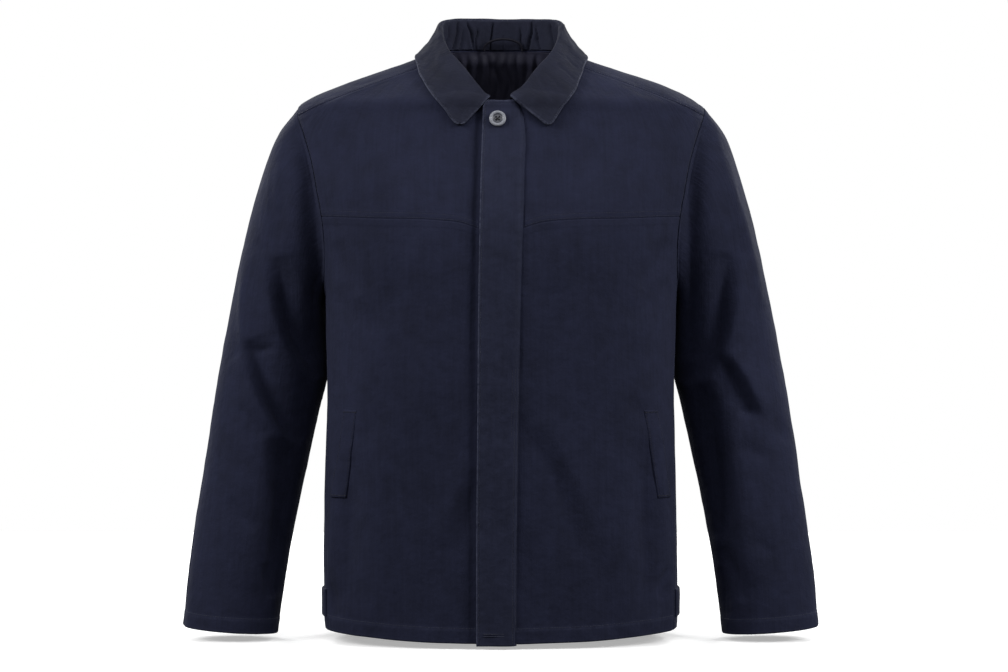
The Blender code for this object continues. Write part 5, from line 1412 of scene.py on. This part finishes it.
placket_table = np.array(PLACKET)
up = spaced(0.655, 0.0024, fine=0.0008, reach=0.008)
heights = PLACKET[0][0] + (PLACKET[-1][0] - PLACKET[0][0]) * up
free_edge = smooth(placket_table[:, 0], placket_table[:, 1], heights)
sewn_edge = smooth(placket_table[:, 0], placket_table[:, 2], heights)
corner_rise = np.clip((heights - PLACKET[-1][0]) / PLACKET_CORNER + 1, 0, 1)
free_edge = free_edge + PLACKET_CORNER * 0.6 * (1 - np.sqrt(1 - 0.999 * corner_rise ** 2))
across = spaced(0.051, 0.0012, fine=0.0006, reach=0.010)[None, :]
x_here = free_edge[:, None] * (1 - across) + sewn_edge[:, None] * across
z_here = np.broadcast_to(heights[:, None], x_here.shape)
to_sewn = sewn_edge[:, None] - x_here
from_free = x_here - free_edge[:, None]
lift = LAID_GAP + PLACKET_LIFT * ease(0, PLACKET_FALL, to_sewn) + CLOTH * ease(-0.0008, 0.0042, to_sewn)
surface, normals = folded_form(front_angle(x_here, z_here), z_here, lift)
from_foot = z_here - heights[0]
from_top = heights[-1] - z_here
relief = -0.0008 * bell(from_free, 0.0008)
relief += 0.0004 * bell(from_free - 0.0016, 0.0010)
relief += stitch_groove(from_free, FREE_STITCH, 0.0004)
relief += 0.00028 * wander(from_foot, 0.0052, 410) * np.exp(-from_free / 0.005)
for row, lowest in PLACKET_STITCHES:
    relief += stitch_groove(to_sewn, row, 0.0004) * (z_here < STITCHED_BELOW) * (z_here > lowest)
tugged = 0.5 + 0.5 * wander(z_here, 0.05, 411)
relief += 0.00055 * tugged * wander(z_here + 0.5 * to_sewn, 0.0068, 412) * np.exp(-to_sewn / 0.010)
relief += 0.00040 * tugged * wander(z_here - 0.4 * from_free, 0.0078, 415) * np.exp(-from_free / 0.009)
relief += 0.0004 * mottled(x_here, z_here, 0.013, 0.024, 413)
relief += 0.00025 * mottled(x_here, z_here, 0.006, 0.009, 414)
relief += -0.0007 * (bell(from_foot, 0.0008) + bell(from_top, 0.0008))
relief += stitch_groove(from_top, FREE_STITCH, 0.0004)
points = surface + relief[..., None] * normals
worn = (0.70 * bell(from_free, 0.0011, 1.5) + 0.08 * np.exp(-from_free / 0.006)
        + 0.4 * np.exp(-from_top / 0.0012) + 0.6 * np.exp(-from_foot / 0.0012)
        + 0.06 * bell(to_sewn - 0.004, 0.003))
cut = pairs(x_here, z_here)
placket_twill = woven("placket_twill", NAVY_FLY, NAVY_FLY_FADED, patchy=0.60)
placket = cloth_piece("placket_cloth", points, normals, FLY_THICKNESS, placket_twill,
                      cut, worn)
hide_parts("placket")
inside = slice(3, -3)
rows = [line_at(points[inside], normals[inside], from_free[inside], FREE_STITCH)]
for row, lowest in PLACKET_STITCHES:
    low = slice(max(3, np.searchsorted(heights, lowest)), np.searchsorted(heights, STITCHED_BELOW))
    rows += [line_at(points[low], normals[low], to_sewn[low], row)]
placket_stitches = stitch_row("placket_stitches", rows, navy_thread)

# bar tack at the foot of the fly: close satin stitches across, in two lines
TACK_LINES = (-0.7068, -0.7040)
TACK_FROM = -0.0205
TACK_TO = 0.0035
tack_x = np.linspace(TACK_FROM, TACK_TO, 40)
tack_runs = []
for tack_z in TACK_LINES:
    tack_height = np.full_like(tack_x, tack_z)
    tack_lift = LAID_GAP + PLACKET_LIFT + CLOTH + 0.0002
    tack_runs.append(folded_form(front_angle(tack_x, tack_height), tack_height, tack_lift))
stitch_row("placket_bar_tack", tack_runs, navy_thread, pitch=0.0013, length=0.0016,
           thread=0.00042)

# ================================================================ zip
# Two woven tapes behind the front edges carry cast metal teeth that lock in one chain. The
# slider is drawn to the top and the fly is buttoned over it.
CHAIN_HALF = 0.0024
CHAIN_THICKNESS = 0.0024
TAPE_CLOTH = 0.0008
TAPE_WIDTH = 0.0130
TAPE_RIB = 0.0016
TAPE_LIFT = -CLOTH - 0.0011 - TAPE_CLOTH
TEETH_FROM = -0.7050
TEETH_TO = -0.0840
TOOTH_PITCH = 0.0024
TOOTH_SIDES = 8

TAPE_TONE = (24, 24, 31)
TAPE_FADED = (40, 41, 52)
ZIP_METAL = (112, 113, 120)
tape_weave = woven("zip_tape_weave", TAPE_TONE, TAPE_FADED, rib=TAPE_RIB, roughness=0.8, sheen=0.05,
                   crumple=0.0002, weave=0.00015)


def metal_finish(name, tone, roughness):
    """Tumbled metal: fine scratches one way and dull patches in its roughness."""
    material, tree, shader = new_finish(name)
    body = put(tree, "ShaderNodeTexCoord").outputs["Object"]
    scratched = noise(tree, scaled(tree, body, (900, 900, 6000)), 1.0)
    dull = noise(tree, body, 300.0)
    rough = sums(tree, times(tree, scratched, 0.25), roughness - 0.12)
    bump = put(tree, "ShaderNodeBump", Strength=0.4, Distance=0.00003, Height=scratched)
    feed(tree, shader, Base_Color=tinted(tree, dull, shaded(tone, 0.6), linear(tone)),
         Roughness=rough, Metallic=1.0, Normal=bump.outputs[0])
    return material


zip_metal = metal_finish("zip_metal_finish", ZIP_METAL, 0.38)
for node_name in ("zip_slider", "zip_pull"):
    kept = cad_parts[node_name]
    kept.data.materials.clear()
    kept.data.materials.append(zip_metal)

for label, side in SIDES:
    tape_edge = CHAIN_HALF + SEAM_GAP
    edge_across = np.linspace(tape_edge, tape_edge + TAPE_WIDTH, 17)[None, :]
    heights = np.linspace(-0.7060, -0.0710, 281)[:, None]
    x_here, z_here = np.broadcast_arrays(side * edge_across, heights)
    surface, normals = folded_form(front_angle(x_here, z_here), z_here, TAPE_LIFT + TAPE_CLOTH)
    ribbed = 0.00008 * np.sin(2 * np.pi * np.abs(x_here) / TAPE_RIB)
    points = surface + ribbed[..., None] * normals
    tape = cloth_piece("zip_tape_cloth_" + label, points, normals, TAPE_CLOTH, tape_weave,
                       pairs(x_here, z_here), np.zeros_like(x_here))
    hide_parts("zip_tape_" + label)

# each tooth is a rounded bar: a ring of 8 sides at 5 places from its tape to past the middle
tooth_z = np.arange(TEETH_FROM, TEETH_TO, TOOTH_PITCH / 2)
tooth_side = np.where(np.arange(len(tooth_z)) % 2 == 0, 1.0, -1.0)
tooth_middle, tooth_normal = folded_form(0, tooth_z, TAPE_LIFT + CHAIN_THICKNESS / 2)
tooth_along = unit(np.cross(tooth_normal, np.array([1.0, 0, 0])))
profile = np.array(((-1.0, 0.80, 0.85), (-0.7, 1.0, 1.0), (-0.1, 0.95, 0.80), (0.25, 0.80, 0.95),
                    (0.45, 0.45, 0.55)))   # place across, thickness and width of each ring
ring_turn = full_turn(TOOTH_SIDES)
ring_out = np.abs(np.sin(ring_turn)) ** 0.6 * np.sign(np.sin(ring_turn))
ring_up = np.abs(np.cos(ring_turn)) ** 0.6 * np.sign(np.cos(ring_turn))
reach = tooth_side[:, None] * profile[:, 0] * CHAIN_HALF
centre = tooth_middle[:, None] - reach[..., None] * np.array([1.0, 0, 0])
ring = (tooth_normal[:, None, None] * (ring_out[:, None] * CHAIN_THICKNESS * 0.48)
        * profile[:, 1][None, :, None, None]
        + tooth_along[:, None, None] * (ring_up[:, None] * 0.00050) * profile[:, 2][None, :, None, None])
teeth = centre[:, :, None] + ring
barrel, caps = tube_faces(len(profile), TOOTH_SIDES)
offset = (np.arange(len(teeth)) * len(profile) * TOOTH_SIDES)[:, None, None]
faces = [(barrel[None] + offset), (caps[None] + offset)]
inside_out = tooth_side < 0
faces = [np.where(inside_out[:, None, None], face[..., ::-1], face).reshape(-1, face.shape[-1])
         for face in faces]
mesh = make_mesh("zip_teeth", teeth.reshape(-1, 3), faces)
chain = add_piece("zip_teeth", mesh, zip_metal, sharp=50)
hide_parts("zip_chain")

# ================================================================ button
# A four-hole button in grey horn stuff, turned with a rounded rim round a dished middle and
# sewn on with dark thread that crosses between its holes, over a wound shank.
BUTTON_X = -0.0036
BUTTON_Z = -0.0877
BUTTON_RADIUS = 0.0101
BUTTON_THICKNESS = 0.0034
BUTTON_SEAT = LAID_GAP + PLACKET_LIFT + CLOTH + 0.0008
HOLE_PITCH = 0.0019
HOLE_RADIUS = 0.0010
HOLE_DEPTH = 0.0014
BUTTON_RINGS = 150
BUTTON_SIDES = 96
HORN = (158, 161, 171)
HORN_MIDDLE = (66, 68, 78)

angle = front_angle(np.array(BUTTON_X), np.array(BUTTON_Z))
seat = on_form(angle, np.array(BUTTON_Z))
out_of_cloth = form_normal(angle, np.array(BUTTON_Z))
up_cloth = unit(np.array([0, 0, 1]) - out_of_cloth[2] * out_of_cloth)
sideways = np.cross(up_cloth, out_of_cloth)
button_frame = np.stack([sideways, up_cloth, out_of_cloth])
seat = seat + BUTTON_SEAT * out_of_cloth
# face and back as one profile: radius and height, from the middle of the face round to the back
button_profile = np.array(((0.0, 0.50), (0.20, 0.50), (0.40, 0.51), (0.52, 0.54), (0.60, 0.68),
                           (0.66, 0.86), (0.74, 0.97), (0.82, 1.0), (0.90, 0.95), (0.96, 0.82),
                           (1.0, 0.60), (0.99, 0.40), (0.95, 0.20), (0.88, 0.07), (0.78, 0.0),
                           (0.40, 0.0), (0.0, 0.0)))
button_profile *= np.array([BUTTON_RADIUS, BUTTON_THICKNESS])
profile_run = lengths(button_profile, 0)
button_marks = np.linspace(0.00012, profile_run[-1] - 0.00012, BUTTON_RINGS)
profile = np.stack([np.interp(button_marks, profile_run, button_profile[:, axis])
                    for axis in range(2)], axis=-1)
turn = full_turn(BUTTON_SIDES)
local = np.stack(np.broadcast_arrays(profile[:, :1] * np.cos(turn), profile[:, :1] * np.sin(turn),
                                     profile[:, 1:]), axis=-1)
raised = local[..., 2] / BUTTON_THICKNESS
face_side = ease(0.3, 0.45, raised) * (raised > 0.4)
for hole_x, hole_y in ((1, 1), (-1, 1), (-1, -1), (1, -1)):
    distance = np.hypot(local[..., 0] - hole_x * HOLE_PITCH, local[..., 1] - hole_y * HOLE_PITCH)
    sunk = 1 - ease(0.8 * HOLE_RADIUS, 1.15 * HOLE_RADIUS, distance)
    local[..., 2] -= HOLE_DEPTH * sunk * face_side
button_points = seat + local @ button_frame
# The horn is made darker in colour in its dish; this mask rides in the attribute named worn.
dished = 1 - ease(0.56, 0.70, np.hypot(local[..., 0], local[..., 1]) / BUTTON_RADIUS)
mesh = make_mesh("button_horn_disc", button_points.reshape(-1, 3),
                 tube_faces(BUTTON_RINGS, BUTTON_SIDES), worn=dished)


def horn_finish(name, tone, middle):
    """Horn: pale grey with darker drifting streaks, darker in its dish, with a soft polish."""
    material, tree, shader = new_finish(name)
    body = put(tree, "ShaderNodeTexCoord").outputs["Object"]
    streaks = put(tree, "ShaderNodeTexWave", {"bands_direction": "DIAGONAL"},
                  Vector=body, Scale=160.0, Distortion=9.0, Detail=4.0).outputs["Fac"]
    specks = noise(tree, body, 1100.0)
    mixed = sums(tree, times(tree, streaks, 0.35), times(tree, specks, 0.7))
    dish = put(tree, "ShaderNodeAttribute", {"attribute_name": "worn"}).outputs["Fac"]
    rim = tinted(tree, mixed, shaded(tone, 0.55), linear(tone))
    bump = put(tree, "ShaderNodeBump", Strength=0.25, Distance=0.00004, Height=specks)
    feed(tree, shader, Base_Color=tinted(tree, dish, rim, linear(middle)),
         Roughness=sums(tree, times(tree, specks, 0.2), 0.26), Normal=bump.outputs[0])
    return material


button = add_piece("button_horn_disc", mesh, horn_finish("button_horn_finish", HORN, HORN_MIDDLE),
                   sharp=60)
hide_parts("button")

# thread: strands between opposite holes, one pair over the other, and the shank under the button
SEWING_THREAD = 0.00042
SHANK_RADIUS = 0.0016
STRAND_SEAT = 0.52 * BUTTON_THICKNESS - 0.0008
STRAND_RINGS = 15
STRAND_SIDES = 8
SHANK_SIDES = 14
DARK_THREAD = (20, 20, 25)
dark_thread = thread_finish("button_thread", DARK_THREAD)
strand = np.linspace(0, 1, STRAND_RINGS)
thread_points = []
thread_faces = []
count = 0
for number, (x0, y0, x1, y1) in enumerate(((-1, 1, 1, -1), (-1, -1, 1, 1), (-1, 1, 1, -1),
                                           (-1, -1, 1, 1), (-1, 1, -1, -1))):
    drift = 0.00028 * (number - 2)
    bowed = 0.00125 + 0.00012 * number
    route = np.stack([(x0 + (x1 - x0) * strand) * HOLE_PITCH + drift,
                      (y0 + (y1 - y0) * strand) * HOLE_PITCH + 0.6 * drift,
                      STRAND_SEAT + bowed * np.sin(np.pi * strand) ** 0.5], axis=-1)
    rings = tube(route, SEWING_THREAD, STRAND_SIDES, upright=(0.0, 0.0, 1.0))
    thread_points.append(rings.reshape(-1, 3))
    thread_faces.append(tube_faces(STRAND_RINGS, STRAND_SIDES, count))
    count += STRAND_RINGS * STRAND_SIDES
shank = np.stack([0 * strand, 0 * strand, -0.0008 + 0.0009 * strand], axis=-1)
wound = SHANK_RADIUS * (1 + 0.10 * np.cos(strand[:, None] * 40))
shank_rings = tube(shank, wound, SHANK_SIDES, upright=(0, 1.0, 0))
thread_points.append(shank_rings.reshape(-1, 3))
thread_faces.append(tube_faces(STRAND_RINGS, SHANK_SIDES, count))
thread_points = seat + np.concatenate(thread_points) @ button_frame
faces = [np.concatenate([pair[0] for pair in thread_faces]),
         np.concatenate([pair[1] for pair in thread_faces[:-1]]), thread_faces[-1][1]]
mesh = make_mesh("button_thread", thread_points, faces)
add_piece("button_thread", mesh, dark_thread, sharp=70)

# ================================================================ pocket welts
# Slanted welts at the sides of the lower fronts: a folded strip of the twill, stitched along
# both edges, with a bar tack at each end.
WELT_TOP = (0.181, -0.4365)
WELT_FOOT = (0.197, -0.5440)
WELT_WIDTH = 0.017
WELT_STITCH = 0.0022
WELT_TACK = 0.0030            # from each end to its bar tack
WELT_CLOTH = 0.0010

up = spaced(0.108, 0.0016, fine=0.0006, reach=0.006)[:, None]
across = spaced(WELT_WIDTH, 0.0009, fine=0.0005, reach=0.004)[None, :]
for label, side in SIDES:
    z_here = WELT_FOOT[1] + (WELT_TOP[1] - WELT_FOOT[1]) * up
    middle = WELT_FOOT[0] + (WELT_TOP[0] - WELT_FOOT[0]) * up
    x_here, z_here = np.broadcast_arrays(side * (middle + WELT_WIDTH * (across - 0.5)), z_here)
    surface, normals = folded_form(front_angle(x_here, z_here), z_here, LAID_GAP + WELT_CLOTH)
    foot = lengths(surface, 0)
    left = lengths(surface, 1)
    sides_away = np.minimum(left, left[:, -1:] - left)
    ends_away = np.minimum(foot, foot[-1:] - foot)
    rim = np.minimum(sides_away, ends_away)
    relief = -0.0010 * bell(rim, 0.0007) + stitch_groove(sides_away, WELT_STITCH)
    relief += 0.00030 * wander(foot, 0.0065, 500 + side) * np.exp(-sides_away / 0.004)
    relief += 0.0003 * mottled(left, foot, 0.008, 0.016, 503 + side)
    points = surface + relief[..., None] * normals
    worn = 0.04 * np.exp(-rim / 0.0011)
    welt = cloth_piece("pocket_welt_cloth_" + label, points, normals, WELT_CLOTH, navy_twill,
                       pairs(x_here, z_here), worn)
    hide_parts("pocket_welt_" + label)
    inside = slice(4, -4)
    welt_rows = [line_at(points[inside], normals[inside], away[inside], WELT_STITCH)
                 for away in (left, left[:, -1:] - left)]
    welt_stitches = stitch_row("pocket_welt_stitches_" + label, welt_rows, shaded_thread)
    tacks = [across_rows(points, normals, away, WELT_TACK) for away in (foot, foot[-1:] - foot)]
    welt_tacks = stitch_row("pocket_welt_tacks_" + label, tacks, shaded_thread,
                            pitch=0.0010, length=0.0014, thread=0.00036)

# ================================================================ side tabs
# Short doubled tabs over the side seams just above the hem, stitched down all round. Each
# reaches from the front round to the back, and stands a little out of the silhouette.
TAB_FOOT = -0.6925
TAB_TOP = -0.6585
TAB_ANGLES = (80.5, 104.0)
TAB_STITCH = 0.0026

around_tab = spaced(0.093, 0.0018, fine=0.0006, reach=0.006)[None, :]
up = spaced(TAB_TOP - TAB_FOOT, 0.0014, fine=0.0006, reach=0.006)[:, None]
for label, side in SIDES:
    turn = (TAB_ANGLES[0] + (TAB_ANGLES[1] - TAB_ANGLES[0]) * around_tab) * side
    z_here = TAB_FOOT + (TAB_TOP - TAB_FOOT) * up
    turn, z_here = np.broadcast_arrays(turn, z_here)
    surface, normals = folded_form(turn, z_here, LAID_GAP + CLOTH)
    foot = lengths(surface, 0)
    left = lengths(surface, 1)
    rim = np.minimum(np.minimum(left, left[:, -1:] - left), np.minimum(foot, foot[-1:] - foot))
    relief = -0.0010 * bell(rim, 0.0008) + stitch_groove(rim, TAB_STITCH)
    relief += 0.0003 * mottled(left, foot, 0.009, 0.012, 600 + side)
    points = surface + relief[..., None] * normals
    worn = 0.12 * np.exp(-rim / 0.0012)
    tab = cloth_piece("side_tab_cloth_" + label, points, normals, CLOTH, navy_twill,
                      pairs(left, foot), worn)
    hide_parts("side_tab_" + label)
    inside = slice(5, -5)
    tab_rows = [line_at(points[inside], normals[inside], away[inside], TAB_STITCH)
                for away in (left, left[:, -1:] - left)]
    tab_rows += [across_rows(points[:, inside], normals[:, inside], away[:, inside], TAB_STITCH)
                 for away in (foot, foot[-1:] - foot)]
    tab_stitches = stitch_row("side_tab_stitches_" + label, tab_rows, shaded_thread)

# ================================================================ floor, light and camera
# A plain white floor under a white sky, soft lights at both sides, a weak one in front and two
# behind, and a level camera square to the jacket's front. The floor throws no light back up.
FLOOR_HEIGHT = -0.7235
FLOOR_HALF = 1.6
WHITE = (1.0, 1.0, 1.0, 1.0)
mesh = bpy.data.meshes.new("floor")
corners = ((-1, -1), (1, -1), (1, 1), (-1, 1))
mesh.from_pydata([(x * FLOOR_HALF, y * FLOOR_HALF, FLOOR_HEIGHT) for x, y in corners], [],
                 [(0, 1, 2, 3)])
floor = add_object("floor", mesh)
floor_paint, tree, shader = new_finish("floor_paint")
feed(tree, shader, Base_Color=(0.9, 0.9, 0.9, 1.0), Roughness=0.9, Emission_Color=WHITE,
     Emission_Strength=0.40)
mesh.materials.append(floor_paint)
floor.visible_diffuse = False
floor.visible_glossy = False

# The sky's light on the cloth falls off from overhead to underneath and from front to back
SKY_TOP = 0.44
SKY_FOOT = 0.02
SKY_BEHIND = 0.90
world = bpy.data.worlds.new("studio")
bpy.context.scene.world = world
world.use_nodes = True
tree = world.node_tree
sight = put(tree, "ShaderNodeLightPath").outputs["Is Camera Ray"]
direction = put(tree, "ShaderNodeTexCoord").outputs["Generated"]
parts = put(tree, "ShaderNodeSeparateXYZ", Vector=direction).outputs
from_above = put(tree, "ShaderNodeMapRange", Value=parts["Z"], i1=-0.5, i2=0.9, i3=SKY_FOOT, i4=SKY_TOP)
from_front = put(tree, "ShaderNodeMapRange", Value=parts["Y"], i1=-0.6, i2=0.6, i3=1.0, i4=SKY_BEHIND)
sky = times(tree, from_above.outputs[0], from_front.outputs[0])
unseen = sums(tree, 1.0, sight, "SUBTRACT")
feed(tree, tree.nodes["Background"], Color=WHITE, Strength=sums(tree, times(tree, unseen, sky), sight))


LIGHT_TARGET = (0.0, 0.0, -0.25)


def soft_light(name, place, width, height, power, target=LIGHT_TARGET):
    """Broad panel of light at a place, turned towards a target, with its power in watts."""
    lamp = bpy.data.lights.new(name, "AREA")
    lamp.shape = "RECTANGLE"
    lamp.size = width
    lamp.size_y = height
    lamp.energy = power
    light = add_object(name, lamp)
    light.location = place
    direction = Vector(place) - Vector(target)
    light.rotation_euler = direction.to_track_quat("Z", "Y").to_euler()


soft_light("left_light", (-2.9, -1.3, 1.2), width=1.4, height=1.4, power=70)
soft_light("right_light", (2.9, -1.3, 1.2), width=1.4, height=1.4, power=70)
soft_light("front_light", (0.0, -3.2, 2.2), width=1.6, height=0.9, power=16, target=(0.0, 0.0, -0.20))
soft_light("left_back_light", (-1.9, 2.6, 1.3), width=1.4, height=1.2, power=60)
soft_light("right_back_light", (1.9, 2.6, 1.3), width=1.4, height=1.2, power=60)

# The lens is in millimetres on a sensor 36 mm wide, and frames 1.26 m at the jacket's distance
CAMERA_PLACE = (0.004, -3.0, -0.3475)
CAMERA_LENS = 85.714
camera_lens = bpy.data.cameras.new("camera")
camera_lens.sensor_width = 36.0
camera_lens.lens = CAMERA_LENS
camera = add_object("camera", camera_lens)
camera.location = CAMERA_PLACE
camera.rotation_euler = (np.pi / 2, 0.0, 0.0)
bpy.context.scene.camera = camera
bpy.context.scene.view_settings.view_transform = "Standard"
